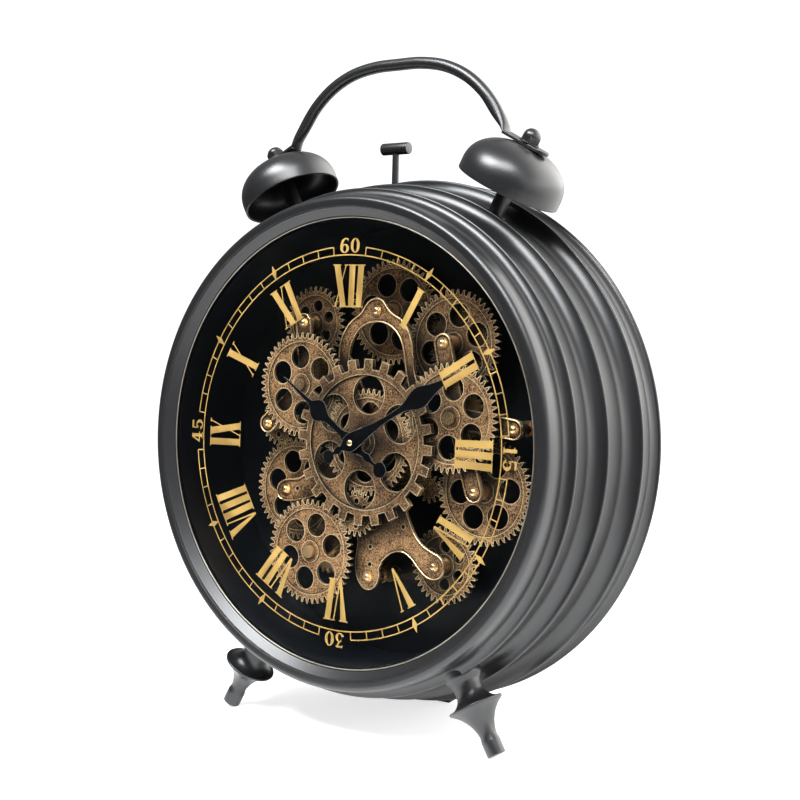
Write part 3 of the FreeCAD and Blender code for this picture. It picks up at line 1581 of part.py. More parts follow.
def foot():
    """Turned foot with a collar, a neck, a sharp flared rim and a round stem."""
    tip = foot_end - foot_rounding
    body = turned([
        (0, foot_start), (collar_radius, foot_start), (collar_radius, collar_end),
        ((collar_fall_radius, collar_fall), (neck_radius, neck_end)),
        ((flare_middle_radius, flare_middle), (flare_radius, flare_end)),
        (flare_radius, flare_end + flare_edge),
        ((stem_middle_radius, stem_middle), (stem_top_radius, stem_top)),
        (stem_radius, stem_step), (stem_radius, tip),
        ((stem_radius - foot_rounding * (1 - math.sin(math.pi / 4)), foot_end - foot_rounding
          * (1 - math.sin(math.pi / 4))), (stem_radius - foot_rounding, foot_end)),
        (0, foot_end),
    ])
    bore = Part.makeCylinder(thread_radius, stud_end - foot_start + overrun, UPWARD * (foot_start - overrun))
    body = body.cut(bore)
    return set_out(body, foot_depth, 180 - foot_angle).cut(drum_block())


def stud_nut(wall):
    """Nut inside the drum, its corners just reaching the wall of the given radius."""
    outline = hexagon(stud_nut_flats)
    outline.rotate(ORIGIN, ACROSS, 90)
    nut = Part.Face(outline).extrude(UPWARD * stud_nut_thick)
    corner = stud_nut_flats / 2 / math.cos(math.radians(30))
    seat = math.sqrt((wall - sheet) ** 2 - corner ** 2)
    nut.translate(UPWARD * (seat - loose_fit * 2 - stud_nut_thick))
    return nut


def foot_studs():
    """Threaded studs that hold the feet, each with its nut inside the drum."""
    stud = Part.makeCylinder(thread_radius, stud_end - stud_start, UPWARD * stud_start)
    bolt = joined([stud, stud_nut(second_band_radius)])
    return group(both_sides(set_out(bolt, foot_depth, 180 - foot_angle)))


# Printed marks


def bar_wire(corners):
    """Closed outline of straight strokes."""
    return section(list(corners))


def printed(wires):
    """One printed mark from overlapping outlines."""
    return joined([slab([wire], glass_back, print_thick) for wire in wires])


def spun(shape, angle):
    """Turn a mark clockwise about the face centre."""
    turned_mark = shape.copy()
    turned_mark.rotate(ORIGIN, INWARD, angle)
    return turned_mark


def stroke(top_left, top_right, foot_right, foot_left):
    """Slanting stroke between the numeral's top and foot lines."""
    return bar_wire([(foot_left, numeral_foot), (foot_right, numeral_foot),
                     (top_right, numeral_top), (top_left, numeral_top)])


def serif(left, right, low):
    """Thin line across the end of a stroke."""
    return bar_wire([(left - serif_reach, low), (right + serif_reach, low),
                     (right + serif_reach, low + hairline), (left - serif_reach, low + hairline)])


def letter_width(letter, top):
    """Width of a letter at the numeral's top or foot line."""
    if letter == "I":
        return bar_top if top else bar_foot
    if letter == "X":
        return letter_x_top if top else letter_x_foot
    return letter_v_top if top else bar_foot


def letter_wires(letter, top_left, foot_left):
    """Strokes and serifs of one letter, its left edge given at top and foot."""
    top_right = top_left + letter_width(letter, True)
    foot_right = foot_left + letter_width(letter, False)
    top_line = numeral_top - hairline
    if letter == "I":
        return [stroke(top_left, top_right, foot_right, foot_left),
                serif(top_left, top_right, top_line), serif(foot_left, foot_right, numeral_foot)]
    if letter == "X":
        return [stroke(top_left, top_left + thick_top, foot_right, foot_right - bar_foot),
                stroke(top_right - hairline, top_right, foot_left + hairline, foot_left),
                serif(top_left, top_left + thick_top, top_line),
                serif(top_right - hairline, top_right, top_line),
                serif(foot_left, foot_left + hairline, numeral_foot),
                serif(foot_right - bar_foot, foot_right, numeral_foot)]
    point_x = (foot_left + foot_right) / 2
    if letter == "V":
        thick = stroke(top_left, top_left + thick_top, point_x + hairline / 2, point_x - hairline)
        thin = stroke(top_right - hairline, top_right, point_x + hairline, point_x - hairline / 2)
        return [thick, thin, serif(top_left, top_left + thick_top, top_line),
                serif(top_right - hairline, top_right, top_line)]
    thick = stroke(top_right - thick_top, top_right, point_x + hairline, point_x - hairline / 2)
    thin = stroke(top_left, top_left + hairline, point_x + hairline / 2, point_x - hairline)
    return [thick, thin, serif(top_right - thick_top, top_right, top_line),
            serif(top_left, top_left + hairline, top_line)]


def numeral(word):
    """One Roman numeral standing on its foot line, centred."""
    gaps = len(word) - 1
    top = -(sum(letter_width(letter, True) for letter in word) + stroke_gap_top * gaps) / 2
    base = -(sum(letter_width(letter, False) for letter in word) + stroke_gap_foot * gaps) / 2
    wires = []
    for letter in word:
        wires += letter_wires(letter, top, base)
        top += letter_width(letter, True) + stroke_gap_top
        base += letter_width(letter, False) + stroke_gap_foot
    return group([printed(wires)])


def oval_mark(middle, half_wide, half_high):
    """Closed oval outline for round digits."""
    x, z = middle
    side = math.sin(math.pi / 4)
    return section([
        (x - half_wide, z), ((x - half_wide * side, z + half_high * side), (x, z + half_high)),
        ((x + half_wide * side, z + half_high * side), (x + half_wide, z)),
        ((x + half_wide * side, z - half_high * side), (x, z - half_high)),
        ((x - half_wide * side, z - half_high * side), (x - half_wide, z)),
    ])


def bowl(middle, half_wide, half_high, stem_shift):
    """Ring of a round digit, thick at the sides and thin at top and bottom."""
    inner = (middle[0] + stem_shift, middle[1])
    outer_face = slab([oval_mark(middle, half_wide, half_high)], glass_back, print_thick)
    cut_face = slab([oval_mark(inner, half_wide - digit_stem, half_high - digit_hairline)],
                    glass_back - overrun, print_thick + overrun * 2)
    return outer_face.cut(cut_face)


def flat_bar(left, right, low, high):
    """Upright or level bar of a digit."""
    return block(left, right, glass_back, glass_back + print_thick, low, high)


def foot_serif(left):
    """Thin bar under a digit's stem, reaching half a stem to both sides."""
    return flat_bar(left - digit_stem / 2, left + digit_stem * 3 / 2, 0, digit_hairline)


def digit(figure):
    """One serif digit, its lower left corner at the origin."""
    wide, high = digit_width, number_height
    half_wide, half_high = wide / 2, high / 2
    if figure == "0":
        return bowl((half_wide, half_high), half_wide, half_high, 0)
    if figure == "1":
        left = half_wide - digit_stem / 2
        flag = high - digit_hairline * 2
        return joined([flat_bar(left, left + digit_stem, 0, high), foot_serif(left),
                       flat_bar(left - digit_stem / 2, left + digit_hairline, flag - digit_hairline, flag)])
    if figure == "4":
        left = wide - digit_stem * four_stem_share
        bar = high * four_bar_share
        slope = bar_wire([(0, bar), (digit_hairline * four_slant_share, bar), (left + digit_hairline, high),
                          (left - digit_hairline / 2, high)])
        return joined([flat_bar(left, left + digit_stem, 0, high), slab([slope], glass_back, print_thick),
                       flat_bar(0, wide, bar, bar + digit_hairline * four_bar_thick_share),
                       foot_serif(left)])
    if figure == "6":
        lower = bowl((half_wide, high * six_bowl_share), half_wide, high * six_bowl_share, 0)
        swell = half_wide * six_swell_share
        ring = bowl((swell, half_high), swell, half_high, 0)
        cut = half_wide * six_cut_share
        back = ring.common(flat_bar(0, cut, high * six_bowl_share, high))
        crown = ring.common(flat_bar(cut, wide * crown_reach_share, high * six_crown_share, high))
        return joined([lower, back, crown])
    mouth = half_wide * mouth_share
    lower = bowl((half_wide, high * lower_bowl_share), half_wide, high * lower_bowl_share, 0)
    lower = lower.cut(flat_bar(-overrun, mouth, high * lower_mouth_share, high))
    left = digit_stem / 2
    crown = flat_bar(left, wide * crown_reach_share, high - digit_hairline * 2, high)
    if figure == "5":
        return joined([lower, crown, flat_bar(left, left + digit_hairline, high * five_neck_share, high)])
    right = wide * crown_reach_share
    waist = high * three_waist_share
    slope = bar_wire([(right - digit_hairline * 2, high - digit_hairline), (right, high - digit_hairline),
                      (half_wide + digit_hairline, waist), (half_wide - digit_hairline, waist)])
    return joined([lower, crown, slab([slope], glass_back, print_thick)])


def number_mark(figures, angle):
    """Two digits side by side, their tops outward, turned to their place."""
    marks = []
    for number, figure in enumerate(figures):
        mark = digit(figure)
        left = (number - len(figures) / 2) * (digit_width + digit_gap) + digit_gap / 2
        mark.translate(FreeCAD.Vector(left, 0, number_radius - number_height / 2))
        marks += spun(mark, angle).Solids
    return marks


def track_marks():
    """Both circles of the minute track with their ticks, broken at the four numbers."""
    back = glass_back + print_thick
    half = line_width / 2
    inner = tube(track_inner + half, track_inner - half, glass_back, back)
    outer = tube(track_outer + half, track_outer - half, glass_back, back)
    minute = 360 / minutes
    gap = slab([section([(0, 0), polar(bezel_radius, math.radians(90 - minute)),
                         polar(bezel_radius, math.radians(90 + minute))])], glass_back - overrun,
               print_thick + overrun * 2)
    outer = outer.cut([spun(gap, 90 * quarter) for quarter in range(4)])
    tick = block(-half, half, glass_back, back, track_inner, track_outer)
    ticks = []
    for number in range(minutes):
        if number % 15 != 0 and number % 5 != 0:
            ticks.append(spun(tick, number * minute))
    return joined([inner, outer] + ticks + diamonds())


def diamonds():
    """Slightly slanted diamonds at the five-minute marks between the numbers."""
    middle = (diamond_inner + diamond_outer) / 2
    mark = slab([bar_wire([(-diamond_slant, diamond_inner), (diamond_half_width, middle),
                           (diamond_slant, diamond_outer), (-diamond_half_width, middle)])],
                glass_back, print_thick)
    return [spun(mark, 30 * number) for number in range(12) if number % 3 != 0]


def dial_print():
    """Every gold mark on the back of the glass."""
    marks = list(track_marks().Solids)
    for number, word in enumerate(numeral_words):
        marks += spun(numeral(word), 30 * (number + 1)).Solids
    for quarter, figures in enumerate(("60", "15", "30", "45")):
        marks += number_mark(figures, 90 * quarter)
    return group([spun(mark, print_turn) for mark in marks])


# Leaning the clock back on its feet


def foot_drop(lean):
    """How far below the face centre a foot's tip reaches at a lean."""
    tilt = math.radians(foot_angle)
    along = foot_end - foot_rounding
    down = foot_depth * math.sin(lean) + along * math.cos(tilt) * math.cos(lean)
    edge = math.sqrt(1 - (math.cos(tilt) * math.cos(lean)) ** 2)
    return down + (stem_radius - foot_rounding) * edge + foot_rounding


def rim_drop(lean):
    """How far below the face centre the drum's rear edge reaches at a lean."""
    return (rear_rim_radius - nose) * math.cos(lean) + (drum_back - nose) * math.sin(lean) + nose


def lean_angle():
    """Lean at which the feet and the pad under the rear edge stand on one level."""
    low, high = 0, math.pi / 6
    for _ in range(halvings):
        lean = (low + high) / 2
        if foot_drop(lean) > rim_drop(lean) + pad_thick:
            low = lean
        else:
            high = lean
    return (low + high) / 2


def rest_pad(lean):
    """Rubber pad that fills the room between the drum's rear edge and the table."""
    room = block(-pad_half_length, pad_half_length, pad_front, drum_back - nose,
                 -foot_end, -last_band_radius * math.cos(math.asin(pad_half_length / last_band_radius)))
    pad = room.cut(drum_block())
    floor = block(-cover_radius, cover_radius, -cover_radius, cover_radius * 2, -cover_radius, 0)
    floor.translate(UPWARD * -foot_drop(lean))
    floor.rotate(ORIGIN, ACROSS, math.degrees(lean))
    return pad.cut(floor)


def all_pieces(lean):
    """Every piece of the clock, upright, under its own name."""
    pieces = train_wheels()
    pieces.update({
        "case_drum": case_drum(),
        "front_bezel": front_bezel(),
        "lip_ring": tube(lip_radius, lip_opening, cove_front, lip_back),
        "front_glass": rod(glass_radius, lip_back, glass_back),
        "dial_print": dial_print(),
        "dial_pan": dial_pan(),
        "train_plate": train_plate(),
        "plate_rims": plate_rims(),
        "train_pillars": train_pillars(),
        "train_spacers": train_spacers(),
        "bridge_screws": bridge_screws(),
        "centre_tube": centre_tube(),
        "centre_nut": centre_nut(),
        "hour_hand": hand(hour_outline_shares, hour_length, hour_tail, hour_tail_radius, pipe_radius,
                          hour_direction, hour_front),
        "minute_hand": hand(minute_outline_shares, minute_length, minute_tail, minute_tail_radius,
                            arbor_radius, minute_direction, minute_front),
        "hour_pipe": tube(pipe_radius, arbor_radius + running_fit, hour_front - loose_fit, pipe_back),
        "minute_arbor": minute_arbor(),
        "quartz_movement": quartz_movement(),
        "gear_motor": gear_motor(),
        "motor_screws": motor_screws(),
        "setting_knob": setting_knob(),
        "back_cover": back_cover(),
        "cover_screws": cover_screws(),
        "battery_tray": battery_tray(),
        "battery_cells": battery_cells(),
        "battery_contacts": battery_contacts(),
        "battery_door": battery_door(),
        "gear_switch": gear_switch(),
        "switch_body": switch_body(),
        "bell_right": bell(),
        "bell_left": bell().mirror(ORIGIN, ACROSS),
        "bell_posts": bell_posts(),
        "nut_washers": nut_washers(),
        "acorn_nuts": acorn_nuts(),
        "handle": handle(),
        "hammer": hammer(),
        "hammer_bracket": hammer_bracket(),
        "foot_right": foot(),
        "foot_left": foot().mirror(ORIGIN, ACROSS),
        "foot_studs": foot_studs(),
        "rest_pad": rest_pad(lean),
    })
    return pieces


def main():
    """Build the pieces, lean the clock back, stand it on the table and write each piece."""
    os.makedirs("parts", exist_ok=True)
    lean = lean_angle()
    pieces = all_pieces(lean)
    for shape in pieces.values():
        shape.rotate(ORIGIN, ACROSS, -math.degrees(lean))
    extent = Part.makeCompound(list(pieces.values())).optimalBoundingBox(False, False)
    shift = FreeCAD.Vector(0, -(extent.YMin + extent.YMax) / 2, foot_drop(lean))
    for name, shape in pieces.items():
        shape.translate(shift)
        shape.exportStep("parts/" + name + ".step")


main()
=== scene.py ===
"""Twin-bell table clock with an open train of bronze wheels: the dressed model."""

from __future__ import annotations

import json
import logging
import math
from dataclasses import dataclass
from enum import Enum
from typing import Iterable, Sequence

import bmesh
import bpy
from mathutils import Matrix, Vector

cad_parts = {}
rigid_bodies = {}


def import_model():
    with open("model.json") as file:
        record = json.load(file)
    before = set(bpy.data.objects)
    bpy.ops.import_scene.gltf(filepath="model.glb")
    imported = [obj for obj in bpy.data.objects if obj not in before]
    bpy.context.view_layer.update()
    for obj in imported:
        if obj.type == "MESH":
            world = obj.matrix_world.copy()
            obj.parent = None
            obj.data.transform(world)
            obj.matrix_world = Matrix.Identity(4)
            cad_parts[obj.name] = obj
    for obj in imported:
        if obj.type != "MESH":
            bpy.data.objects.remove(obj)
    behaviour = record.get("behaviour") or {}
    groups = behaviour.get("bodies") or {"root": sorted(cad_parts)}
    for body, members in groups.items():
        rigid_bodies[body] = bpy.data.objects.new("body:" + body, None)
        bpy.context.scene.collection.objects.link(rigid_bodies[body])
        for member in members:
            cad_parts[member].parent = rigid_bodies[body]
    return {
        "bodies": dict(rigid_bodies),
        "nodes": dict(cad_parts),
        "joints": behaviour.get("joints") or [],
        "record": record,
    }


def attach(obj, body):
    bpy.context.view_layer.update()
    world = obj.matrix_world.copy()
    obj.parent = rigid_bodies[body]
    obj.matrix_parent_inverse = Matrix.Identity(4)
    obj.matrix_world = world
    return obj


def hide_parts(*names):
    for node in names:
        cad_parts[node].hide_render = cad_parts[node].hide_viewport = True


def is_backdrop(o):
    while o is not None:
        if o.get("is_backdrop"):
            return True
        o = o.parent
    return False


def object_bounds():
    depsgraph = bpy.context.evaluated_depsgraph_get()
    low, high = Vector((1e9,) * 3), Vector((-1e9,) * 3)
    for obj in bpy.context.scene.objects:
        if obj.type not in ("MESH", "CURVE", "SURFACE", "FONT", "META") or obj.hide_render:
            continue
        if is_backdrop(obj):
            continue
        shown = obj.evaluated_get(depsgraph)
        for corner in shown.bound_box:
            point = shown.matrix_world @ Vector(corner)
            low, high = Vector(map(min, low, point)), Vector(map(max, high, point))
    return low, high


log = logging.getLogger("clock")

MM = 0.001
Point2 = tuple[float, float]
Colour = tuple[float, float, float]


CENTRE_JOINT_DEPTH = 45.0


@dataclass(frozen=True)
class Stand:
    """The clock's own upright frame, leaned back and set on the table."""

    matrix: Matrix

    @classmethod
    def from_frame(cls, frame: dict) -> "Stand":
        """Work the lean out from the axis the centre wheels turn on.


        Returns:
            The stand with its matrix from clock to table coordinates.
        """
        joint = next(j for j in frame["joints"] if j["name"] == "centre_turn")
        axis = Vector(joint["axis"])
        origin = Vector(joint["pos_m"]) - axis * CENTRE_JOINT_DEPTH * MM
        lean = math.atan2(-axis.z, axis.y)
        return cls(Matrix.Translation(origin) @ Matrix.Rotation(-lean, 4, "X"))


class Slot(Enum):
    """The record's material slots."""

    CASE = "black_case"
    LIP = "lip_grey"
    GLASS = "clear_glass"
    PRINT = "gold_print"
    PAN = "black_pan"
    BRONZE = "antique_bronze"
    BRASS = "bright_brass"
    HAND = "hand_black"
    MOULDED = "moulded_black"
    STEEL = "screw_steel"
    CELL = "cell_wrap"
    RUBBER = "black_rubber"


class Body(Enum):
    """The bodies that the turned and swept pieces move with."""

    CASE = "case"
    HAMMER = "hammer"


# Node trees


class Sheet:
    """A node tree with short calls for adding and joining nodes."""

    def __init__(self, tree: bpy.types.NodeTree) -> None:
        """Keep the tree.

        Args:
            tree: the material's or group's node tree.
        """
        self.tree = tree

    def add(self, kind: str, inputs: dict | None = None, **settings: object) -> bpy.types.Node:
        """Add one node.

        Args:
            kind: the node's type name after "ShaderNode".
            inputs: socket name or number to a value or an output socket.
            **settings: attributes of the node.

        Returns:
            The new node.
        """
        node = self.tree.nodes.new("ShaderNode" + kind)
        for name, value in settings.items():
            setattr(node, name, value)
        self.feed(node, inputs or {})
        return node

    def feed(self, node: bpy.types.Node, inputs: dict) -> None:
        """Link or set a node's inputs.

        Args:
            node: the node.
            inputs: socket name or number to a value or an output socket.
        """
        for name, value in inputs.items():
            socket = node.inputs[name]
            if isinstance(value, bpy.types.NodeSocket):
                self.tree.links.new(value, socket)
            else:
                socket.default_value = value

    def math(self, operation: str, first: object, second: object = 0.0) -> bpy.types.NodeSocket:
        """Join two values by an operation and give the result's socket."""
        return self.add("Math", {0: first, 1: second}, operation=operation).outputs[0]

    def ramp(self, value: bpy.types.NodeSocket,
             stops: Iterable[tuple[float, Colour]]) -> bpy.types.NodeSocket:
        """Turn a value into a colour.

        Args:
            value: the socket that drives the ramp.
            stops: place and colour of each stop.

        Returns:
            The colour socket.
        """
        stops = list(stops)
        node = self.add("ValToRGB", {0: value})
        elements = node.color_ramp.elements
        while len(elements) < len(stops):
            elements.new(0.5)
        for element, (place, colour) in zip(elements, stops):
            element.position = place
            element.color = (*colour, 1.0)
        return node.outputs[0]

    def blend(self, factor: object, first: object, second: object) -> bpy.types.NodeSocket:
        """Mix two colours and give the result's socket."""
        first, second = ((*value, 1.0) if isinstance(value, tuple) else value for value in (first, second))
        return self.add("Mix", {0: factor, 6: first, 7: second}, data_type="RGBA").outputs[2]

    def spread(self, value: object, source: Point2, target: Point2 = (0.0, 1.0)) -> bpy.types.NodeSocket:
        """Map a value from one range to another, held inside it."""
        limits = dict(enumerate((value, *source, *target)))
        return self.add("MapRange", limits).outputs[0]


def group_tree(name: str, inputs: Iterable[tuple[str, float]], outputs: Iterable[str]) -> tuple:
    """Start a node group with float sockets.

    Args:
        name: the group's name.
        inputs: name and first value of each input.
        outputs: name of each output.

    Returns:
        The group, its sheet, its input node and its output node.
    """
    tree = bpy.data.node_groups.new(name, "ShaderNodeTree")
    for label, value in inputs:
        socket = tree.interface.new_socket(label, in_out="INPUT", socket_type="NodeSocketFloat")
        socket.default_value = value
    for label in outputs:
        tree.interface.new_socket(label, in_out="OUTPUT", socket_type="NodeSocketFloat")
    entry = tree.nodes.new("NodeGroupInput")
    leave = tree.nodes.new("NodeGroupOutput")
    return tree, Sheet(tree), entry, leave


def blank(name: str) -> tuple[bpy.types.Material, Sheet, bpy.types.Node]:
    """Start a material.

    Args:
        name: the material's name.

    Returns:
        The material, its sheet and its shader.
    """
    material = bpy.data.materials.new(name)
    material.use_nodes = True
    return material, Sheet(material.node_tree), material.node_tree.nodes["Principled BSDF"]


class Effects:
    """The shader effects that several finishes share, each built once."""

    EDGE_TURN = (0.995, 0.90)
    WEAR_BREAKS = (0.32, 0.52)
    WEAR_LEFT = (0.6, 1.0)
    OPEN_TO_AIR = 0.95
    NEAR_SHADE_AO = 0.45
    FAR_SHADE_AO = 0.62
    FEW_RAYS = 4
    MORE_RAYS = 8

    def __init__(self) -> None:
        """Build every group."""
        self.wear = self._wear()
        self.grain = self._grain()
        self.patina_and_shade = self._patina_and_shade()

    def _wear(self) -> bpy.types.NodeTree:
        """Bare rubbed edges: bright where the surface turns sharply, broken up by noise."""
        tree, sheet, entry, leave = group_tree(
            "rubbed edges", (("Radius", 0.0006), ("Amount", 1.0), ("Scale", 400.0)), ("Mask",))
        bevel = sheet.add("Bevel", {"Radius": entry.outputs["Radius"]}, samples=self.FEW_RAYS)
        normal = sheet.add("NewGeometry").outputs["Normal"]
        turn = sheet.add("VectorMath", {0: bevel.outputs[0], 1: normal}, operation="DOT_PRODUCT")
        edge = sheet.spread(turn.outputs["Value"], self.EDGE_TURN)
        place = sheet.add("TexCoord").outputs["Object"]
        noise = sheet.add("TexNoise", {"Vector": place, "Scale": entry.outputs["Scale"], "Detail": 4.0})
        broken = sheet.spread(noise.outputs[0], self.WEAR_BREAKS, self.WEAR_LEFT)
        mask = sheet.math("MULTIPLY", edge, broken)
        sheet.feed(leave, {"Mask": sheet.math("MULTIPLY", mask, entry.outputs["Amount"])})
        return tree

    @staticmethod
    def _grain() -> bpy.types.NodeTree:
        """Fine cast or sprayed grain at two sizes, with a slow change of tone."""
        tree, sheet, entry, leave = group_tree(
            "fine grain", (("Scale", 900.0), ("Slow Scale", 40.0)), ("Height", "Tone"))
        place = sheet.add("TexCoord").outputs["Object"]
        fine = sheet.add("TexNoise", {"Vector": place, "Scale": entry.outputs["Scale"], "Detail": 3.0,
                                      "Roughness": 0.6})
        slow = sheet.add("TexNoise", {"Vector": place, "Scale": entry.outputs["Slow Scale"], "Detail": 5.0,
                                      "Roughness": 0.65})
        sheet.feed(leave, {"Height": fine.outputs[0], "Tone": slow.outputs[0]})
        return tree

    def _patina_and_shade(self) -> bpy.types.NodeTree:
        """Painted shade from occlusion: dark patina in the hollows, partly painted shade, where surfaces
        close in on each other, and a deeper painted shade far down in the train, where less light reaches.
        """
        tree, sheet, entry, leave = group_tree(
            "grime in corners", (("Reach", 0.006), ("Deep Reach", 0.02), ("Amount", 1.0)), ("Mask", "Depth"))
        # near occlusion: dark patina in the hollows, partly painted shade
        near = sheet.add("AmbientOcclusion", {"Distance": entry.outputs["Reach"]}, samples=self.FEW_RAYS,
                         only_local=True)
        # far occlusion: painted shade on the wheels deep in the train, where less light reaches
        far = sheet.add("AmbientOcclusion", {"Distance": entry.outputs["Deep Reach"]}, samples=self.MORE_RAYS)
        for mask, hidden, low in (("Mask", near, self.NEAR_SHADE_AO), ("Depth", far, self.FAR_SHADE_AO)):
            deep = sheet.spread(hidden.outputs["AO"], (self.OPEN_TO_AIR, low))
            sheet.feed(leave, {mask: sheet.math("MULTIPLY", deep, entry.outputs["Amount"])})
        return tree


NOISE_RANGE = (0.3, 0.7)


@dataclass(frozen=True)
class Finish:
    """A finish with one tone, a sprayed or moulded grain and rubbed edges."""

    name: str
    base: Colour
    edge: Colour
    roughness: float = 0.45
    roughness_spread: float = 0.08
    metallic: float = 0.0
    bump: float = 0.15
    grain_scale: float = 900.0
    slow_scale: float = 30.0
    tone: float = 0.25
    wear: float = 0.4
    wear_radius: float = 0.0006
    coat: float = 0.0
    specular: float = 0.5
    bump_depth: float = 0.0002

    def material(self, effects: Effects) -> bpy.types.Material:
        """Make the material.

        Args:
            effects: the shared effect groups.

        Returns:
            The new material.
        """
        material, sheet, shader = blank(self.name)
        grain = sheet.add("Group", {"Scale": self.grain_scale, "Slow Scale": self.slow_scale},
                          node_tree=effects.grain)
        wear = sheet.add("Group", {"Amount": self.wear, "Radius": self.wear_radius}, node_tree=effects.wear)
        shades = [tuple(channel * share for channel in self.base) for share in (1 - self.tone, 1 + self.tone)]
        toned = sheet.ramp(grain.outputs["Tone"], zip(NOISE_RANGE, shades))
        colour = sheet.blend(wear.outputs["Mask"], toned, self.edge)
        rough = sheet.spread(grain.outputs["Tone"], NOISE_RANGE, (self.roughness - self.roughness_spread,
                                                                  self.roughness + self.roughness_spread))
        bump = sheet.add("Bump", {"Strength": self.bump, "Distance": self.bump_depth,
                                  "Height": grain.outputs["Height"]})
        sheet.feed(shader, {"Base Color": colour, "Roughness": rough, "Normal": bump.outputs[0],
                            "Metallic": self.metallic, "Coat Weight": self.coat,
                            "Specular IOR Level": self.specular})
        return material


@dataclass(frozen=True)
class AntiqueMetal:
    """Cast metal with a dark patina in its hollows, partly painted shade, a deeper painted shade far down in
    the train, and rubbed-through edges whose bright colour is partly painted highlight.
    """

    name: str
    patina: Colour = (0.012, 0.008, 0.006)
    dark: Colour = (0.060, 0.028, 0.013)
    body: Colour = (0.25, 0.135, 0.064)
    pale: Colour = (0.52, 0.305, 0.155)
    # edge colour: rubbed-through bronze, partly painted highlight
    bright: Colour = (1.0, 0.80, 0.50)
    patina_shade_reach: float = 0.007
    deep_shade_reach: float = 0.028
    patina_and_shade: float = 0.95
    wear: float = 1.0
    roughness: float = 0.42
    rougher: float = 0.12
    smoother: float = 0.1
    metallic: float = 0.25
    bare_metallic: float = 0.30
    wear_radius: float = 0.0012
    wear_scale: float = 250.0
    grain_scale: float = 1100.0
    mottle_scale: float = 60.0
    pit_scale: float = 2600.0
    speckle_scale: float = 900.0
    mottle: float = 0.08
    stops: tuple[float, float, float, float] = (0.35, 0.42, 0.49, 0.64)
    hollow_from: Point2 = (0.10, 0.45)
    deep_shade_from: Point2 = (0.2, 1.0)
    deep_shade_wear: float = 0.3
    bump: float = 0.30
    bump_depth: float = 0.0003

    def material(self, effects: Effects) -> bpy.types.Material:
        """Make the material.

        Args:
            effects: the shared effect groups.

        Returns:
            The new material.
        """
        material, sheet, shader = blank(self.name)
        grain = sheet.add("Group", {"Scale": self.grain_scale, "Slow Scale": self.mottle_scale},
                          node_tree=effects.grain)
        speckle = sheet.add("Group", {"Scale": self.pit_scale, "Slow Scale": self.speckle_scale},
                            node_tree=effects.grain)
        wear = sheet.add("Group", {"Amount": self.wear, "Radius": self.wear_radius, "Scale": self.wear_scale},
                         node_tree=effects.wear)
        # occlusion lays patina in the hollows and painted shade down the train
        patina_and_shade = sheet.add("Group", {"Amount": self.patina_and_shade, "Reach": self.patina_shade_reach,
                                    "Deep Reach": self.deep_shade_reach}, node_tree=effects.patina_and_shade)
        mottle = sheet.spread(grain.outputs["Tone"], NOISE_RANGE, (-self.mottle, self.mottle))
        worn = sheet.math("ADD", speckle.outputs["Tone"], mottle)
        body = sheet.ramp(worn, zip(self.stops, (self.patina, self.dark, self.body, self.pale)))
        # painted shade: darker far down in the train
        deep_shaded = sheet.blend(patina_and_shade.outputs["Depth"], body, self.patina)
        # dark patina in the hollows, partly painted shade
        shaded_patina = sheet.blend(patina_and_shade.outputs["Mask"], deep_shaded, self.patina)
        outward = sheet.spread(patina_and_shade.outputs["Mask"], self.hollow_from, (1.0, 0.0))
        # less rubbed edge colour where the painted shade is deep
        out_of_deep_shade = sheet.spread(patina_and_shade.outputs["Depth"], self.deep_shade_from, (1.0, self.deep_shade_wear))
        # rubbed edges, coloured bright enough to be painted highlights as well
        worn_and_highlit = sheet.math("MULTIPLY", sheet.math("MULTIPLY", wear.outputs["Mask"], outward), out_of_deep_shade)
        colour = sheet.blend(worn_and_highlit, shaded_patina, self.bright)
        rough = sheet.spread(speckle.outputs["Tone"], NOISE_RANGE,
                             (self.roughness + self.rougher, self.roughness - self.smoother))
        height = sheet.math("ADD", grain.outputs["Height"], speckle.outputs["Tone"])
        bump = sheet.add("Bump", {"Strength": self.bump, "Distance": self.bump_depth, "Height": height})
        metal = sheet.spread(worn_and_highlit, (0.0, 1.0), (self.metallic, self.bare_metallic))
        sheet.feed(shader, {"Base Color": colour, "Roughness": rough, "Metallic": metal,
                            "Normal": bump.outputs[0]})
        return material


@dataclass(frozen=True)
class ClearGlass:
    """Flat float glass that lets the light of the room in."""

    name: str = "clear glass"
    tint: Colour = (0.96, 0.98, 0.98)
    bending: float = 1.2

    def material(self, effects: Effects) -> bpy.types.Material:
        """Make the material.

        Args:
            effects: the shared effect groups, not used here.

        Returns:
            The new material.
        """
        material, sheet, shader = blank(self.name)
        sheet.feed(shader, {"Base Color": (*self.tint, 1.0), "Roughness": 0.0, "Transmission Weight": 1.0,
                            "IOR": self.bending})
        open_shader = sheet.add("BsdfTransparent", {"Color": (*self.tint, 1.0)})
        path = sheet.add("LightPath")
        passing = sheet.math("MAXIMUM", path.outputs["Is Shadow Ray"], path.outputs["Is Diffuse Ray"])
        mix = sheet.add("MixShader", {0: passing, 1: shader.outputs[0], 2: open_shader.outputs[0]})
        sheet.feed(material.node_tree.nodes["Material Output"], {"Surface": mix.outputs[0]})
        return material


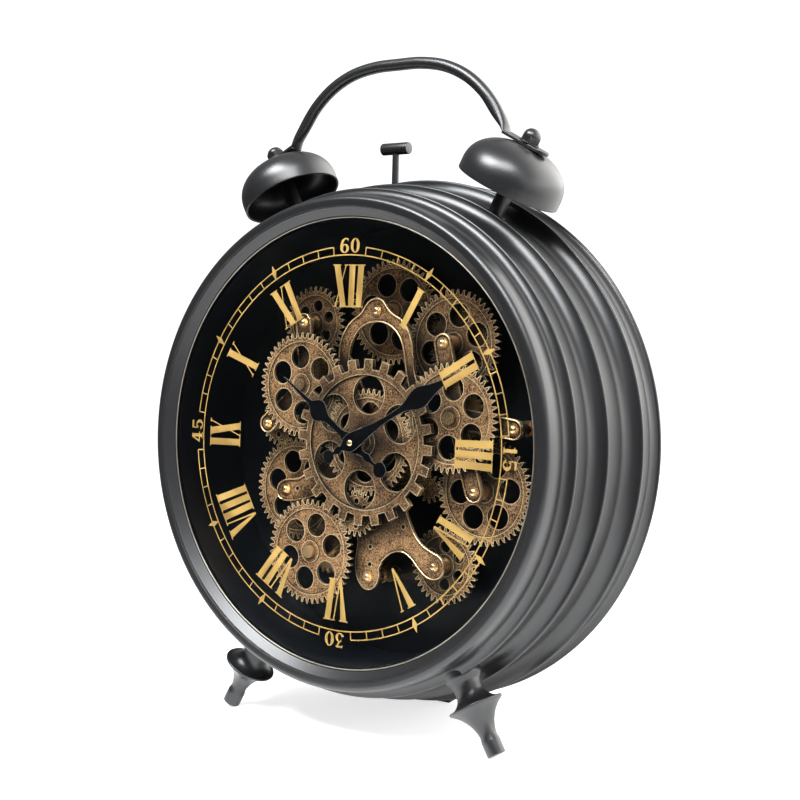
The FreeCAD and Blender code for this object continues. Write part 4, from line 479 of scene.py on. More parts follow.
class Paints:
    """Every finish of the clock, made once."""

    def __init__(self) -> None:
        """Make the shared effects and all the materials."""
        effects = Effects()
        finishes = {
            Slot.CASE: Finish("satin black enamel", (0.017, 0.017, 0.018), (0.08, 0.08, 0.085),
                              roughness=0.34, roughness_spread=0.012, bump=0.02, wear=0.05, tone=0.05,
                              grain_scale=700.0, slow_scale=12.0, specular=0.7),
            Slot.LIP: Finish("brushed grey lip", (0.36, 0.33, 0.28), (0.6, 0.57, 0.5), roughness=0.34,
                             metallic=0.8, wear=0.4),
            Slot.PRINT: Finish("printed gold", (0.53, 0.34, 0.115), (0.62, 0.42, 0.17), roughness=0.42,
                               metallic=0.25, bump=0.08, tone=0.10, wear=0.2, grain_scale=1500.0),
            Slot.PAN: Finish("smooth black pan", (0.005, 0.006, 0.008), (0.02, 0.02, 0.022), roughness=0.30,
                             roughness_spread=0.01, bump=0.01, tone=0.05, wear=0.05),
            Slot.BRASS: Finish("polished brass", (0.80, 0.56, 0.32), (0.95, 0.8, 0.58), roughness=0.27,
                               metallic=0.95, bump=0.12, wear=0.6, wear_radius=0.0004),
            Slot.HAND: Finish("matt black hands", (0.003, 0.003, 0.0035), (0.30, 0.29, 0.27), roughness=0.6,
                              bump=0.03, wear=0.8, specular=0.05),
            Slot.MOULDED: Finish("moulded black plastic", (0.030, 0.030, 0.033), (0.08, 0.08, 0.085),
                                 roughness=0.55, bump=0.3, wear=0.3),
            Slot.STEEL: Finish("plated steel", (0.30, 0.30, 0.31), (0.5, 0.5, 0.52), roughness=0.4,
                               metallic=0.95, bump=0.1, wear=0.5),
            Slot.CELL: Finish("plain cell wrap", (0.07, 0.09, 0.13), (0.3, 0.3, 0.32), roughness=0.25,
                              bump=0.03, coat=0.4),
            Slot.RUBBER: Finish("black rubber", (0.018, 0.018, 0.018), (0.05, 0.05, 0.05), roughness=0.8,
                                bump=0.5, wear=0.3),
        }
        self.materials = {slot: finish.material(effects) for slot, finish in finishes.items()}
        self.materials[Slot.BRONZE] = AntiqueMetal("antique bronze").material(effects)
        self.materials[Slot.GLASS] = ClearGlass().material(effects)

    def dress(self, piece: bpy.types.Object, slot: Slot) -> None:
        """Give a piece one material.

        Args:
            piece: the object to dress.
            slot: the finish it gets.
        """
        piece.data.materials.clear()
        piece.data.materials.append(self.materials[slot])


# Turned meshes


def rounded(corners: Sequence[tuple[float, float, float]], steps: int = 4) -> list[Point2]:
    """Round the corners of an open outline.

    Args:
        corners: radius, height and rounding of each corner in mm.
        steps: how many lengths each rounding is split into.

    Returns:
        The points of the outline.
    """
    points: list[Point2] = []
    for number, (radius, height, rounding) in enumerate(corners):
        here = Vector((radius, height))
        if rounding == 0 or number in (0, len(corners) - 1):
            points.append((radius, height))
            continue
        before = Vector(corners[number - 1][:2]) - here
        after = Vector(corners[number + 1][:2]) - here
        reach = min(rounding, before.length * ROUND_SHARE, after.length * ROUND_SHARE)
        start, stop = here + before.normalized() * reach, here + after.normalized() * reach
        for step in range(steps + 1):
            share = step / steps
            point = start * (1 - share) ** 2 + here * 2 * share * (1 - share) + stop * share ** 2
            points.append((point.x, point.y))
    return points


ROUND_SHARE = 0.48
RING_STEPS = 288


def arc(first: Point2, middle: Point2, last: Point2, steps: int = 10) -> list[Point2]:
    """Points of the circle's arc through three points, the first and last included.

    Args:
        first: where the arc starts.
        middle: a point on the way.
        last: where it ends.
        steps: how many lengths it is split into.

    Returns:
        The points from first to last.
    """
    (ax, ay), (bx, by), (cx, cy) = first, middle, last
    spread = 2 * (ax * (by - cy) + bx * (cy - ay) + cx * (ay - by))
    squares = [x * x + y * y for x, y in (first, middle, last)]
    centre_x = (squares[0] * (by - cy) + squares[1] * (cy - ay) + squares[2] * (ay - by)) / spread
    centre_y = (squares[0] * (cx - bx) + squares[1] * (ax - cx) + squares[2] * (bx - ax)) / spread
    radius = math.hypot(ax - centre_x, ay - centre_y)
    turn = [math.atan2(y - centre_y, x - centre_x) for x, y in (first, middle, last)]
    whole = (turn[2] - turn[0]) % math.tau
    if (turn[1] - turn[0]) % math.tau > whole:
        whole -= math.tau
    angles = [turn[0] + whole * step / steps for step in range(steps + 1)]
    return [(centre_x + radius * math.cos(angle), centre_y + radius * math.sin(angle)) for angle in angles]


def shown(name: str, data: bpy.types.ID) -> bpy.types.Object:
    """Make an object of a mesh, light or camera and link it to the scene."""
    item = bpy.data.objects.new(name, data)
    bpy.context.scene.collection.objects.link(item)
    return item


def linked(name: str, shape: bmesh.types.BMesh, place: Matrix) -> bpy.types.Object:
    """Turn a worked-out shape into an object of the scene.

    Args:
        name: the piece's name.
        shape: the mesh being made, which is freed.
        place: the matrix from the piece to the table's frame.

    Returns:
        The new object.
    """
    bmesh.ops.recalc_face_normals(shape, faces=shape.faces)
    mesh = bpy.data.meshes.new(name)
    shape.to_mesh(mesh)
    shape.free()
    mesh.transform(place)
    return shown(name, mesh)


class Lathe:
    """Makes turned meshes in the clock's own frame."""

    def __init__(self, stand: Stand, paints: Paints) -> None:
        """Keep the stand and the finishes.

        Args:
            stand: the clock's own frame.
            paints: the finishes.
        """
        self.stand = stand
        self.paints = paints

    def inward(self) -> Matrix:
        """Axis along the clock's depth, heights counted into the clock."""
        return self.stand.matrix @ Matrix.Rotation(-math.pi / 2, 4, "X")

    def set_out(self, depth: float, angle: float) -> Matrix:
        """Axis from the face centre outwards at a depth.

        Args:
            depth: how far into the clock, in mm.
            angle: degrees from the top, clockwise.

        Returns:
            The matrix from the turned piece to the table's frame.
        """
        turn = Matrix.Rotation(math.radians(angle), 4, "Y")
        return self.stand.matrix @ Matrix.Translation((0, depth * MM, 0)) @ turn

    def turn(self, name: str, outline: Sequence[Point2], place: Matrix, segments: int = 192,
             closed: bool = True, hexagon: Sequence[float] = (), flats: float = 0.0) -> bpy.types.Object:
        """Turn an outline round its axis.

        Args:
            name: the piece's name.
            outline: radius and height of each point in mm.
            place: the matrix from the turned piece to the table's frame.
            segments: how many steps go round.
            closed: whether the last point joins the first.
            hexagon: how far each point's ring is six-sided, from 0 to 1.
            flats: width across the six sides in mm.

        Returns:
            The new object.
        """
        shape = bmesh.new()
        rings = []
        for number, (radius, height) in enumerate(outline):
            if radius == 0:
                rings.append([shape.verts.new((0, 0, height * MM))])
                continue
            ring = []
            for step in range(segments):
                angle = math.tau * step / segments
                reach = radius
                if hexagon and hexagon[number] > 0:
                    side = (angle + math.pi / 6) % (math.pi / 3) - math.pi / 6
                    flat = flats / 2 / math.cos(math.pi / 6 - abs(side))
                    reach = radius + (min(flat, radius) - radius) * hexagon[number]
                ring.append(shape.verts.new((reach * MM * math.cos(angle), reach * MM * math.sin(angle),
                                             height * MM)))
            rings.append(ring)
        pairs = list(zip(rings, rings[1:])) + ([(rings[-1], rings[0])] if closed else [])
        for low, high in pairs:
            self._band(shape, low, high, segments)
        return linked(name, shape, place)

    @staticmethod
    def _band(shape: bmesh.types.BMesh, low: list, high: list, segments: int) -> None:
        """Join two rings, either of which may be a single point on the axis.

        Args:
            shape: the mesh being made.
            low: the first ring.
            high: the next ring.
            segments: how many steps go round.
        """
        if len(low) == 1 and len(high) == 1:
            return
        for step in range(segments):
            following = (step + 1) % segments
            if len(low) == 1:
                shape.faces.new((low[0], high[following], high[step]))
            elif len(high) == 1:
                shape.faces.new((low[step], low[following], high[0]))
            else:
                shape.faces.new((low[step], low[following], high[following], high[step]))

    def finish(self, piece: bpy.types.Object, node: str, slot: Slot = Slot.CASE, body: Body = Body.CASE,
               smooth: float = 38.0) -> None:
        """Smooth, paint and hand over a piece that stands for a node.

        Args:
            piece: the new object.
            node: the node it stands for.
            slot: the finish it gets.
            body: the body it moves with.
            smooth: edges sharper than this angle stay sharp.
        """
        piece.data.shade_smooth()
        piece.data.set_sharp_from_angle(angle=math.radians(smooth))
        self.paints.dress(piece, slot)
        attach(piece, body.value)
        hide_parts(node)
        log.info("built %s with %d faces", piece.name, len(piece.data.polygons))


@dataclass(frozen=True)
class Drum:
    """Rolled drum with three ribs and a rear rim: radii and depths in mm."""

    sheet: float = 1.5
    nose: float = 1.2
    seat: Point2 = (179.0, 9.6)
    front: float = 7.1
    bands: tuple[Point2, ...] = ((179.6, 9.6), (181.0, 24.0), (187.2, 56.0), (194.3, 94.5))
    coves: tuple[Point2, ...] = ((179.6, 13.0), (181.8, 42.0), (188.3, 78.0), (195.0, 108.0))
    crests: tuple[Point2, ...] = ((187.0, 20.5), (193.2, 53.0), (199.9, 91.0), (199.6, 118.2))
    back: float = 119.4
    rear_lip: float = 181.0
    flange: float = 164.4
    edge: float = 0.8
    slot_half: Point2 = (9.5, 3.4)
    slot_depth: float = 61.5
    slot_reach: float = 40.0
    cove_steps: int = 14
    nose_steps: int = 8

    def rib(self, foot: Point2, crest: Point2) -> list[Point2]:
        """Cove that rises from the foot, then the rounded nose.

        Args:
            foot: where the cove starts.
            crest: the highest point of the nose.

        Returns:
            The outline's points.
        """
        start = (crest[0] - self.nose, crest[1] - self.nose)
        stop = (crest[0] - self.nose, crest[1] + self.nose)
        eighth = math.radians(45)
        middle = (foot[0] + (start[0] - foot[0]) * (1 - math.cos(eighth)),
                  foot[1] + (start[1] - foot[1]) * math.sin(eighth))
        return arc(foot, middle, start, self.cove_steps) + arc(start, crest, stop, self.nose_steps)[1:]

    def outside(self) -> list[Point2]:
        """Outline of the outside from front to back."""
        points = [(self.seat[0], self.front), self.seat, self.bands[0]]
        for band, cove, crest in zip(self.bands, self.coves, self.crests):
            if band is not self.bands[0]:
                points += rounded(((*points[-1], 0), (points[-1][0], band[1], self.edge), (*band, self.edge),
                                   (*cove, 0)))[1:-1]
            points += self.rib(cove, crest)
        return points

    def inside(self) -> list[Point2]:
        """Outline of the inside from back to front."""
        wall = self.sheet
        points = [(self.rear_lip, self.back), (self.rear_lip, self.back - wall)]
        for band, cove in zip(reversed(self.bands), reversed(self.coves)):
            far = self.back - wall if band is self.bands[-1] else cove[1]
            near = self.front + wall if band is self.bands[0] else band[1] + wall
            radius = self.seat[0] if band is self.bands[0] else band[0]
            points += [(radius - wall, far), (radius - wall, near)]
        return points + [(self.flange, self.front + wall), (self.flange, self.front)]

    def build(self, lathe: Lathe) -> None:
        """Turn the drum and cut the hammer's slot.

        Args:
            lathe: makes the turned meshes.
        """
        drum = lathe.turn("drum", self.outside() + self.inside(), lathe.inward(), RING_STEPS)
        self.cut_slot(drum, lathe.stand)
        lathe.finish(drum, "case_drum")

    def cut_slot(self, drum: bpy.types.Object, stand: Stand) -> None:
        """Cut the slot that the hammer's stem comes through.

        Args:
            drum: the turned drum.
            stand: the clock's own frame.
        """
        shape = bmesh.new()
        bmesh.ops.create_cube(shape, size=1)
        size = Matrix.Diagonal((*(half * 2 * MM for half in self.slot_half), self.slot_reach * MM, 1))
        place = Matrix.Translation((0, self.slot_depth * MM, self.bands[2][0] * MM))
        cutter = linked("slot cutter", shape, stand.matrix @ place @ size)
        modifier = drum.modifiers.new("slot", "BOOLEAN")
        modifier.operation = "DIFFERENCE"
        modifier.object = cutter
        drum.data = bpy.data.meshes.new_from_object(drum.evaluated_get(bpy.context.evaluated_depsgraph_get()))
        drum.modifiers.clear()
        bpy.data.objects.remove(cutter)


@dataclass(frozen=True)
class FrontRing:
    """Bezel with its rounded face and slanted inner band, and the bead at the glass: sizes in mm."""

    radius: float = 180.2
    widest: float = 3.0
    shoulder: Point2 = (179.4, -2.4)
    crown: Point2 = (177.0, -4.75)
    face_edge: Point2 = (171.6, -4.5)
    band_top: Point2 = (171.2, -2.4)
    band_foot: Point2 = (164.9, 2.2)
    bead: float = 0.55
    bead_radius: float = 164.0
    glass_front: float = 3.4
    glass_radius: float = 167.0
    glass_back: float = 5.9
    pan_flange: float = 169.0
    seat: Point2 = (179.0, 9.6)
    drum_front: float = 7.1
    face_round: float = 2.0
    band_round: float = 0.4
    foot_round: float = 0.3
    lip_round: float = 0.2
    bead_steps: int = 16
    round_steps: int = 6

    def build(self, lathe: Lathe) -> None:
        """Turn the bezel and the bead.

        Args:
            lathe: makes the turned meshes.
        """
        soft, edge, foot = self.face_round, self.band_round, self.foot_round
        outline = rounded(((self.glass_radius, self.glass_front, 0),
                           (self.band_foot[0], self.glass_front, self.lip_round), (*self.band_foot, foot),
                           (*self.band_top, edge), (*self.face_edge, edge), (*self.crown, soft),
                           (*self.shoulder, soft), (self.radius, self.widest, soft),
                           (self.radius, self.seat[1], foot), (*self.seat, 0)), self.round_steps)
        outline += [(self.seat[0], self.drum_front), (self.pan_flange, self.drum_front),
                    (self.pan_flange, self.glass_back), (self.glass_radius, self.glass_back)]
        bezel = lathe.turn("bezel", outline, lathe.inward(), RING_STEPS)
        lathe.finish(bezel, "front_bezel", smooth=42.0)
        middle = self.glass_front - self.bead
        turns = [math.tau * step / self.bead_steps for step in range(self.bead_steps)]
        ring = [(self.bead_radius + self.bead * math.cos(turn), middle + self.bead * math.sin(turn))
                for turn in turns]
        lip = lathe.turn("lip", ring, lathe.inward(), RING_STEPS)
        lathe.finish(lip, "lip_ring", slot=Slot.LIP)


@dataclass(frozen=True)
class Bells:
    """Two pressed bells on posts, with the nuts and washers that hold the handle: sizes in mm."""

    angle: float = 28.2
    depth: float = 61.5
    rim: float = 211.8
    radius: float = 38.8
    height: float = 33.1
    skirt: float = 6.6
    wall: float = 1.6
    rim_round: float = 0.7
    roundness: float = 2.25
    hole: float = 3.0
    steps: int = 40
    segments: int = 160
    washer: Point2 = (7.6, 1.0)
    tab: float = 2.5
    flats: float = 13.0
    nut_height: float = 4.6
    nut_bevel: Point2 = (0.93, 0.9)
    nut_sided: tuple[float, ...] = (0.0, 1.0, 1.0, 0.6)
    dome_radius: float = 6.3
    dome_height: float = 5.2
    dome_steps: int = 12

    def dome(self, inset: float) -> list[Point2]:
        """Curve of the bell from its hole to its rim.

        Args:
            inset: how far inside the outer face the curve lies.

        Returns:
            The points from the crown down.
        """
        radius, rise = self.radius - inset, self.height - inset - self.skirt
        points = []
        for step in range(self.steps + 1):
            angle = math.pi / 2 * step / self.steps
            across = radius * math.sin(angle) ** (2 / self.roundness)
            up = rise * math.cos(angle) ** (2 / self.roundness)
            if across > self.hole:
                points.append((across, self.rim + self.skirt + up))
        return [(self.hole, points[0][1])] + points

    def build(self, lathe: Lathe) -> None:
        """Turn both bells with their nuts and washers.

        Args:
            lathe: makes the turned meshes.
        """
        for side, angle in (("right", self.angle), ("left", -self.angle)):
            place = lathe.set_out(self.depth, angle)
            inner, level = self.radius - self.wall, self.rim + self.skirt / 2
            rim = rounded(((self.radius, level, 0), (self.radius, self.rim, self.rim_round),
                           (inner, self.rim, self.rim_round), (inner, level, 0)))
            outline = self.dome(0) + rim + self.dome(self.wall)[::-1]
            bell = lathe.turn("bell_shell_" + side, outline, place, self.segments)
            lathe.finish(bell, "bell_" + side)
            self.nut(lathe, side, place)

    def nut(self, lathe: Lathe, side: str, place: Matrix) -> None:
        """Turn one domed nut with its washer.

        Args:
            lathe: makes the turned meshes.
            side: which bell it belongs to.
            place: the bell's matrix.
        """
        seat = self.rim + self.height + self.tab
        low, top = seat + self.washer[1], seat + self.washer[1] + self.nut_height
        corner = self.flats / 2 / math.cos(math.pi / 6)
        outline = [(self.hole, low), (corner, low), (corner, top - self.nut_bevel[1]),
                   (corner * self.nut_bevel[0], top)]
        for step in range(self.dome_steps):
            angle = math.pi / 2 * step / self.dome_steps
            outline.append((self.dome_radius * math.cos(angle), top + self.dome_height * math.sin(angle)))
        outline.append((0, top + self.dome_height))
        sided = self.nut_sided + (0.0,) * (len(outline) - len(self.nut_sided))
        nut = lathe.turn("nut_" + side, outline, place, 96, closed=False, hexagon=sided, flats=self.flats)
        lathe.finish(nut, "acorn_nuts", smooth=28.0)
        edge = self.washer[0]
        ring = rounded(((self.hole, seat, 0), (edge, seat, 0.2), (edge, low, 0.25), (self.hole, low, 0)))
        washer = lathe.turn("washer_" + side, ring, place, 96)
        lathe.finish(washer, "nut_washers")


@dataclass(frozen=True)
class Feet:
    """Turned feet with a sharp flared rim: sizes in mm."""

    angle: float = 149.6
    depth: float = 31.1
    start: float = 176.0
    collar: Point2 = (14.0, 187.0)
    fall: Point2 = (11.4, 190.5)
    neck: Point2 = (10.5, 196.0)
    flare_middle: Point2 = (12.8, 204.5)
    flare: Point2 = (20.0, 208.1)
    flare_edge: float = 1.2
    stem_middle: Point2 = (11.2, 217.5)
    stem_top: Point2 = (6.1, 231.0)
    stem: Point2 = (6.8, 235.0)
    end: float = 245.7
    tip: float = 0.8
    waist: float = 0.2
    soft: Point2 = (0.5, 1.2)
    flare_round: float = 0.6
    segments: int = 128

    def build(self, lathe: Lathe) -> None:
        """Turn both feet.

        Args:
            lathe: makes the turned meshes.
        """
        brim = (self.flare[0], self.flare[1] + self.flare_edge)
        waist = (self.neck[0] + self.waist, (self.fall[1] + self.neck[1]) / 2)
        outline = rounded(((0, self.start, 0), (self.collar[0], self.start, self.soft[0]),
                           (*self.collar, self.soft[1]), (*self.fall, 0)))
        outline += arc(self.fall, waist, self.neck, 6)[1:]
        outline += arc(self.neck, self.flare_middle, self.flare, 14)[1:-1]
        outline += rounded(((*self.flare_middle, 0), (*self.flare, self.flare_round),
                            (*brim, self.flare_round), (*self.stem_middle, 0)))[1:-1]
        outline += arc(brim, self.stem_middle, self.stem_top, 16)[2:]
        outline += rounded(((*self.stem_top, 0), (*self.stem, self.soft[0]),
                            (self.stem[0], self.end, self.tip), (0, self.end, 0)))[1:]
        for side, angle in (("right", self.angle), ("left", -self.angle)):
            place = lathe.set_out(self.depth, angle)
            foot = lathe.turn("turned_foot_" + side, outline, place, self.segments, closed=False)
            lathe.finish(foot, "foot_" + side, smooth=34.0)


def glide(stops: Sequence[Sequence[float]], steps: int) -> list[list[float]]:
    """Smooth rows of numbers through the given ones, paced by how far apart the stops lie.

    Args:
        stops: rows of equal length, the first two numbers a place.
        steps: how many rows lie from one stop to the next.

    Returns:
        The rows, the first and last stop included.
    """
    gaps = [math.dist(here[:2], there[:2]) for here, there in zip(stops, stops[1:])]
    slopes = []
    for number, here in enumerate(stops):
        if number in (0, len(stops) - 1):
            near = min(number, len(gaps) - 1)
            slopes.append([(b - a) / gaps[near] for a, b in zip(stops[near], stops[near + 1])])
            continue
        before, after = gaps[number - 1], gaps[number]
        slopes.append([((b - a) / before * after + (c - b) / after * before) / (before + after)
                       for a, b, c in zip(stops[number - 1], here, stops[number + 1])])
    rows = []
    for number, gap in enumerate(gaps):
        for step in range(steps):
            share = step / steps
            square, cube = share ** 2, share ** 3
            ends = zip(stops[number], stops[number + 1], slopes[number], slopes[number + 1])
            rows.append([a * (2 * cube - 3 * square + 1) + b * (3 * square - 2 * cube)
                         + gap * (s * (cube - 2 * square + share) + t * (cube - square))
                         for a, b, s, t in ends])
    return rows + [list(stops[-1])]


@dataclass(frozen=True)
class Handle:
    """Round rod bent over the clock, pressed flat into a tab on each bell: sizes in mm."""

    depth: float = 61.5
    half_span: float = 95.03
    foot: float = 227.64
    crown: float = 55.9
    rod: float = 4.5
    bow: tuple[Point2, ...] = ((0.947, 0.239), (0.821, 0.525), (0.663, 0.751), (0.472, 0.909), (0.221, 0.993))
    neck: Point2 = (1.003, 0.100)
    neck_half: Point2 = (5.3, 3.3)
    tilt: float = 28.2
    seat: float = 244.9
    tab: Point2 = (6.5, 2.5)
    tab_inner: float = 21.0
    tab_outer: float = 18.0
    tab_bevel: float = 0.45
    flats: tuple[tuple[float, float, float], ...] = ((15.0, 0.90, 0.40), (19.5, 0.97, 0.55))
    steps: int = 16
    ring: int = 64
    tab_steps: int = 24

    def stops(self) -> list[tuple[float, float, float, float]]:
        """Sideways, up, half width and half thickness at each stop from the left tab to the right one."""
        lean = math.radians(self.tilt)
        rise = self.seat + self.tab[1] / 2
        flat = []
        for along, wide, thick in self.flats:
            flat.append((math.cos(lean) * along - math.sin(lean) * rise,
                         math.sin(lean) * along + math.cos(lean) * rise,
                         self.tab[0] * wide, self.tab[1] * thick))
        neck = (-self.neck[0] * self.half_span, self.foot + self.neck[1] * self.crown, *self.neck_half)
        rod = [(-across * self.half_span, self.foot + up * self.crown, self.rod, self.rod)
               for across, up in self.bow]
        left = flat + [neck] + rod
        right = [(-across, up, wide, thick) for across, up, wide, thick in reversed(left)]
        return left + [(0.0, self.foot + self.crown, self.rod, self.rod)] + right

    def build(self, lathe: Lathe) -> None:
        """Sweep the rod and press the two tabs.

        Args:
            lathe: holds the stand and the finishes.
        """
        rows = glide(self.stops(), self.steps)
        shape = bmesh.new()
        rings = []
        turns = [math.tau * step / self.ring for step in range(self.ring)]
        for number, (across, up, wide, thick) in enumerate(rows):
            low, high = rows[max(number - 1, 0)], rows[min(number + 1, len(rows) - 1)]
            heading = Vector((high[0] - low[0], high[1] - low[1])).normalized()
            points = [Vector((across - heading.y * thick * math.sin(turn), self.depth + wide * math.cos(turn),
                              up + heading.x * thick * math.sin(turn))) for turn in turns]
            rings.append([shape.verts.new(point * MM) for point in points])
        for low, high in zip(rings, rings[1:]):
            for step in range(self.ring):
                shape.faces.new((low[step], low[step - 1], high[step - 1], high[step]))
        shape.faces.new(rings[0])
        shape.faces.new(rings[-1])
        rod = linked("handle_rod", shape, lathe.stand.matrix)
        lathe.finish(rod, "handle")
        for side in (1, -1):
            self.tab_plate(lathe, side)

    def tab_plate(self, lathe: Lathe, side: int) -> None:
        """Press one tab with its rounded end.

        Args:
            lathe: holds the stand and the finishes.
            side: 1 for the right bell, -1 for the left.
        """
        half, thick = self.tab
        outer = self.tab_outer - half
        turns = [math.pi * step / self.tab_steps for step in range(self.tab_steps + 1)]
        corners = [(-self.tab_inner, -half), (-self.tab_inner, half)]
        corners += [(outer + half * math.sin(turn), half * math.cos(turn)) for turn in turns]
        shape = bmesh.new()
        face = shape.faces.new([shape.verts.new((x * MM, y * MM, self.seat * MM)) for x, y in corners])
        top = bmesh.ops.extrude_face_region(shape, geom=[face])["geom"]
        lift = [item for item in top if isinstance(item, bmesh.types.BMVert)]
        level = [edge for edge in shape.edges if (edge.verts[0] in lift) == (edge.verts[1] in lift)]
        bmesh.ops.translate(shape, verts=lift, vec=(0, 0, thick * MM))
        bmesh.ops.bevel(shape, geom=level, offset=self.tab_bevel * MM, segments=3, affect="EDGES",
                        profile=0.5)
        place = lathe.set_out(self.depth, side * self.tilt) @ Matrix.Diagonal((side, 1, 1, 1))
        tab = linked("handle_tab_" + ("right" if side > 0 else "left"), shape, place)
        if side < 0:
            tab.data.flip_normals()
        lathe.finish(tab, "handle")


@dataclass(frozen=True)
class Hammer:
    """Level bar on a rod that swings on its eye: sizes in mm."""

    depth: float = 61.5
    pivot: float = 173.0
    height: float = 220.5
    head_length: float = 24.0
    head_radius: float = 4.5
    rod_radius: float = 2.6
    eye_radius: float = 5.0
    eye_half: float = 3.0
    pin_radius: float = 2.06
    head_round: float = 0.6
    eye_round: float = 0.4
    segments: int = 64

    def build(self, lathe: Lathe) -> None:
        """Turn the eye, the rod and the head.

        Args:
            lathe: makes the turned meshes.
        """
        centre = lathe.stand.matrix @ Matrix.Translation((0, self.depth * MM, 0))
        half, soft = self.head_length / 2, self.head_round
        bar = rounded(((0, -half, 0), (self.head_radius, -half, soft), (self.head_radius, half, soft),
                       (0, half, 0)))
        level = centre @ Matrix.Translation((0, 0, self.height * MM)) @ Matrix.Rotation(math.pi / 2, 4, "Y")
        low = self.pivot + self.eye_half
        stem = [(0, low), (self.rod_radius, low), (self.rod_radius, self.height), (0, self.height)]
        eye, side, soft = self.eye_radius, self.eye_half, self.eye_round
        ring = rounded(((self.pin_radius, -side, 0), (eye, -side, soft), (eye, side, soft),
                        (self.pin_radius, side, 0)))
        across = centre @ Matrix.Translation((0, 0, self.pivot * MM)) @ Matrix.Rotation(math.pi / 2, 4, "X")
        parts = (("hammer_head", bar, level), ("hammer_eye", ring, across), ("hammer_rod", stem, centre))
        for name, outline, place in parts:
            piece = lathe.turn(name, outline, place, self.segments, closed=outline is ring)
            lathe.finish(piece, "hammer", body=Body.HAMMER)


@dataclass(frozen=True)
class Carried:
    """The solids that are shown as they come, each with its finish."""

    smooth_angle: float = 32.0

    def build(self, frame: dict, paints: Paints) -> None:
        """Dress every node of the frame.

        Args:
            paints: the finishes.
        """
        slots = {row["node"]: row["material_slot"] for row in frame["record"]["subparts"]}
        for name, piece in frame["nodes"].items():
            paints.dress(piece, Slot(slots[name]))
            piece.data.shade_smooth()
            piece.data.set_sharp_from_angle(angle=math.radians(self.smooth_angle))
        log.info("dressed %d carried solids", len(slots))


def toward(azimuth: float, elevation: float) -> Vector:
    """Direction from the clock, in degrees round it from the front and up."""
    turn, rise = math.radians(azimuth), math.radians(elevation)
    return Vector((math.sin(turn) * math.cos(rise), -math.cos(turn) * math.cos(rise), math.sin(rise)))


@dataclass(frozen=True)
class Softbox:
    """One soft light: where it hangs round the clock in degrees and metres, its size and its power."""

    name: str
    azimuth: float
    elevation: float
    distance: float
    size: Point2
    power: float
    colour: Colour = (1.0, 1.0, 1.0)


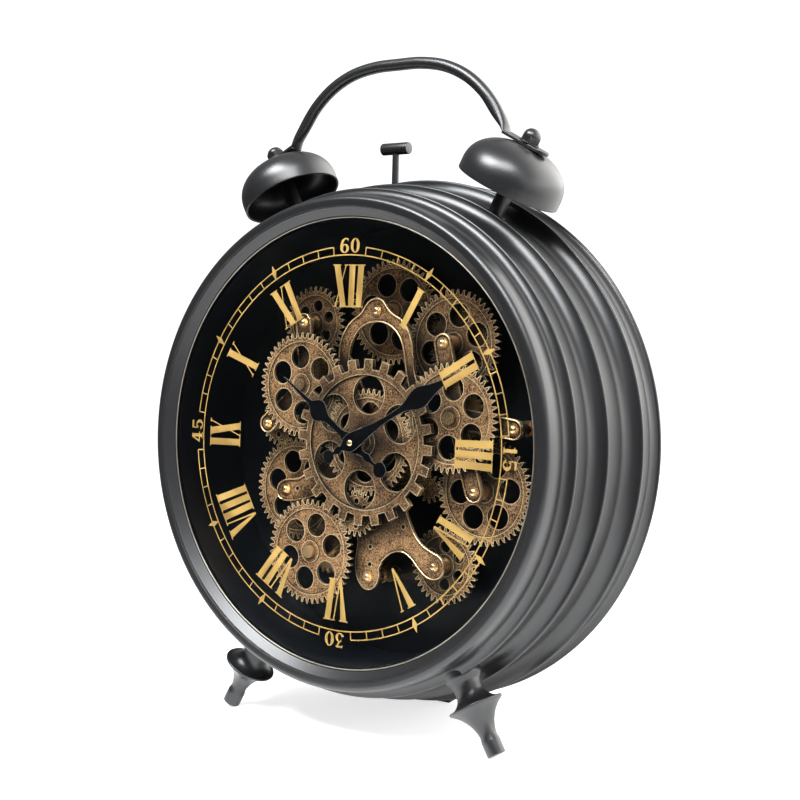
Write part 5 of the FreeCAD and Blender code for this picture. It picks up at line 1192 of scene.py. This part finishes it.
@dataclass(frozen=True)
class Studio:
    """Pale floor, soft lights and the camera of the photograph."""

    azimuth: float = 35.977
    elevation: float = 1.52
    roll: float = 1.608
    place: tuple[float, float, float] = (702.209, -891.849, 62.881)
    focal_share: float = 1566.073 / 800
    sensor: float = 36.0
    floor_half: float = 2.0
    floor_fade: Point2 = (0.35, 1.1)
    floor_colour: Colour = (0.84, 0.84, 0.84)
    floor_glow: float = 0.7
    floor_roughness: float = 0.9
    floor_gloss: float = 0.2
    room_top: float = 5.0
    aim_height: float = 0.25
    bright_side: tuple[float, float, float] = (0.57, 0.82, 0.0)
    room: tuple[Point2, ...] = ((0.04, 0.06), (0.35, 0.18), (0.62, 0.35), (0.75, 0.7), (0.83, 1.8),
                                (0.91, 3.9), (1.0, 4.5))
    horizon: Point2 = (-0.06, 0.04)
    below: Point2 = (0.6, 1.0)
    warmth: Colour = (1.0, 0.99, 0.965)
    boxes: tuple[Softbox, ...] = (
        Softbox("key", -20.0, 60.0, 2.0, (1.1, 0.8), 60.0, (0.95, 0.98, 1.0)),
        Softbox("second key", 38.0, 56.0, 2.1, (1.1, 0.8), 36.0, (0.96, 0.98, 1.0)),
        Softbox("right", 84.0, 6.0, 1.8, (1.4, 1.2), 6.0, (0.95, 0.97, 1.0)),
        Softbox("front right", 62.0, 36.0, 2.0, (0.9, 0.9), 3.0),
    )

    def camera(self, stand: Stand) -> None:
        """Put the camera where the photograph was taken from.

        Args:
            stand: the clock's own frame.
        """
        tilt = math.radians(self.roll)
        back = toward(self.azimuth, self.elevation)
        right = (-back).cross(Vector((0, 0, 1))).normalized()
        up = right.cross(-back)
        rolled_right = right * math.cos(tilt) + up * math.sin(tilt)
        rolled_up = up * math.cos(tilt) - right * math.sin(tilt)
        matrix = Matrix((rolled_right, rolled_up, back)).transposed().to_4x4()
        data = bpy.data.cameras.new("camera")
        data.sensor_width = self.sensor
        data.lens = self.focal_share * self.sensor
        data.dof.use_dof = False
        camera = shown("camera", data)
        camera.matrix_world = stand.matrix @ Matrix.Translation(Vector(self.place) * MM) @ matrix
        bpy.context.scene.camera = camera

    def floor(self) -> None:
        """Lay the pale floor, which fades out into the white of the room."""
        half = self.floor_half
        mesh = bpy.data.meshes.new("floor")
        places = [(-half, -half, 0), (half, -half, 0), (half, half, 0), (-half, half, 0)]
        mesh.from_pydata(places, [], [range(len(places))])
        floor = shown("floor", mesh)
        material, sheet, shader = blank("pale floor")
        place = sheet.add("TexCoord").outputs["Object"]
        far = sheet.add("VectorMath", {0: place}, operation="LENGTH").outputs["Value"]
        fade = sheet.spread(far, self.floor_fade, (1.0, 0.0))
        colour = (*self.floor_colour, 1.0)
        sheet.feed(shader, {"Base Color": colour, "Roughness": self.floor_roughness,
                            "Specular IOR Level": self.floor_gloss, "Emission Color": colour,
                            "Emission Strength": self.floor_glow, "Alpha": fade})
        mesh.materials.append(material)
        floor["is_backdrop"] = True

    def softbox(self, box: Softbox) -> None:
        """Hang one large soft light.

        Args:
            box: where it hangs and how strong it is.
        """
        data = bpy.data.lights.new(box.name, "AREA")
        data.shape = "RECTANGLE"
        data.size, data.size_y = box.size
        data.energy = box.power
        data.color = box.colour
        light = shown(box.name, data)
        away = toward(box.azimuth, box.elevation)
        light.location = Vector((0, 0, self.aim_height)) + away * box.distance
        light.rotation_euler = (-away).to_track_quat("-Z", "Y").to_euler()

    def lights(self) -> None:
        """Hang the lights and set the room: white to the camera, dim to the clock."""
        for box in self.boxes:
            self.softbox(box)
        world = bpy.data.worlds.new("room")
        world.use_nodes = True
        sheet = Sheet(world.node_tree)
        white = world.node_tree.nodes["Background"]
        sheet.feed(white, {"Color": (1.0, 1.0, 1.0, 1.0), "Strength": 1.0})
        way = sheet.add("TexCoord").outputs["Generated"]
        side = sheet.add("VectorMath", {0: way, 1: self.bright_side}, operation="DOT_PRODUCT")
        tones = [(place, tuple(level / self.room_top * tint for tint in self.warmth))
                 for place, level in self.room]
        tone = sheet.ramp(sheet.spread(side.outputs["Value"], (-1.0, 1.0)), tones)
        rise = sheet.add("SeparateXYZ", {0: way}).outputs["Z"]
        level = sheet.math("MULTIPLY", sheet.spread(rise, self.horizon, self.below), self.room_top)
        dim = sheet.add("Background", {"Color": tone, "Strength": level})
        seen = sheet.add("LightPath").outputs["Is Camera Ray"]
        mix = sheet.add("MixShader", {0: seen, 1: dim.outputs[0], 2: white.outputs[0]})
        sheet.feed(world.node_tree.nodes["World Output"], {"Surface": mix.outputs[0]})
        bpy.context.scene.world = world
        bpy.context.scene.view_settings.view_transform = "Standard"
        bpy.context.scene.view_settings.look = "Medium High Contrast"

    def build(self, stand: Stand) -> None:
        """Set up camera, floor and lights.

        Args:
            stand: the clock's own frame.
        """
        self.camera(stand)
        self.floor()
        self.lights()
        log.info("studio set")


def corners(box: tuple) -> list[list[float]]:
    """A box as plain lists of numbers."""
    return [[float(value) for value in corner] for corner in box]


def main() -> None:
    """Load the frame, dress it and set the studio."""
    logging.basicConfig(level=logging.INFO, format="%(message)s")
    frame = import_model()
    solid_box = corners(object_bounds())
    stand = Stand.from_frame(frame)
    paints = Paints()
    Carried().build(frame, paints)
    lathe = Lathe(stand, paints)
    for assembly in (Drum(), FrontRing(), Bells(), Handle(), Hammer(), Feet()):
        assembly.build(lathe)
    Studio().build(stand)
    {"solids": solid_box, "scene": corners(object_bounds())}


if __name__ == "__main__":
    main()
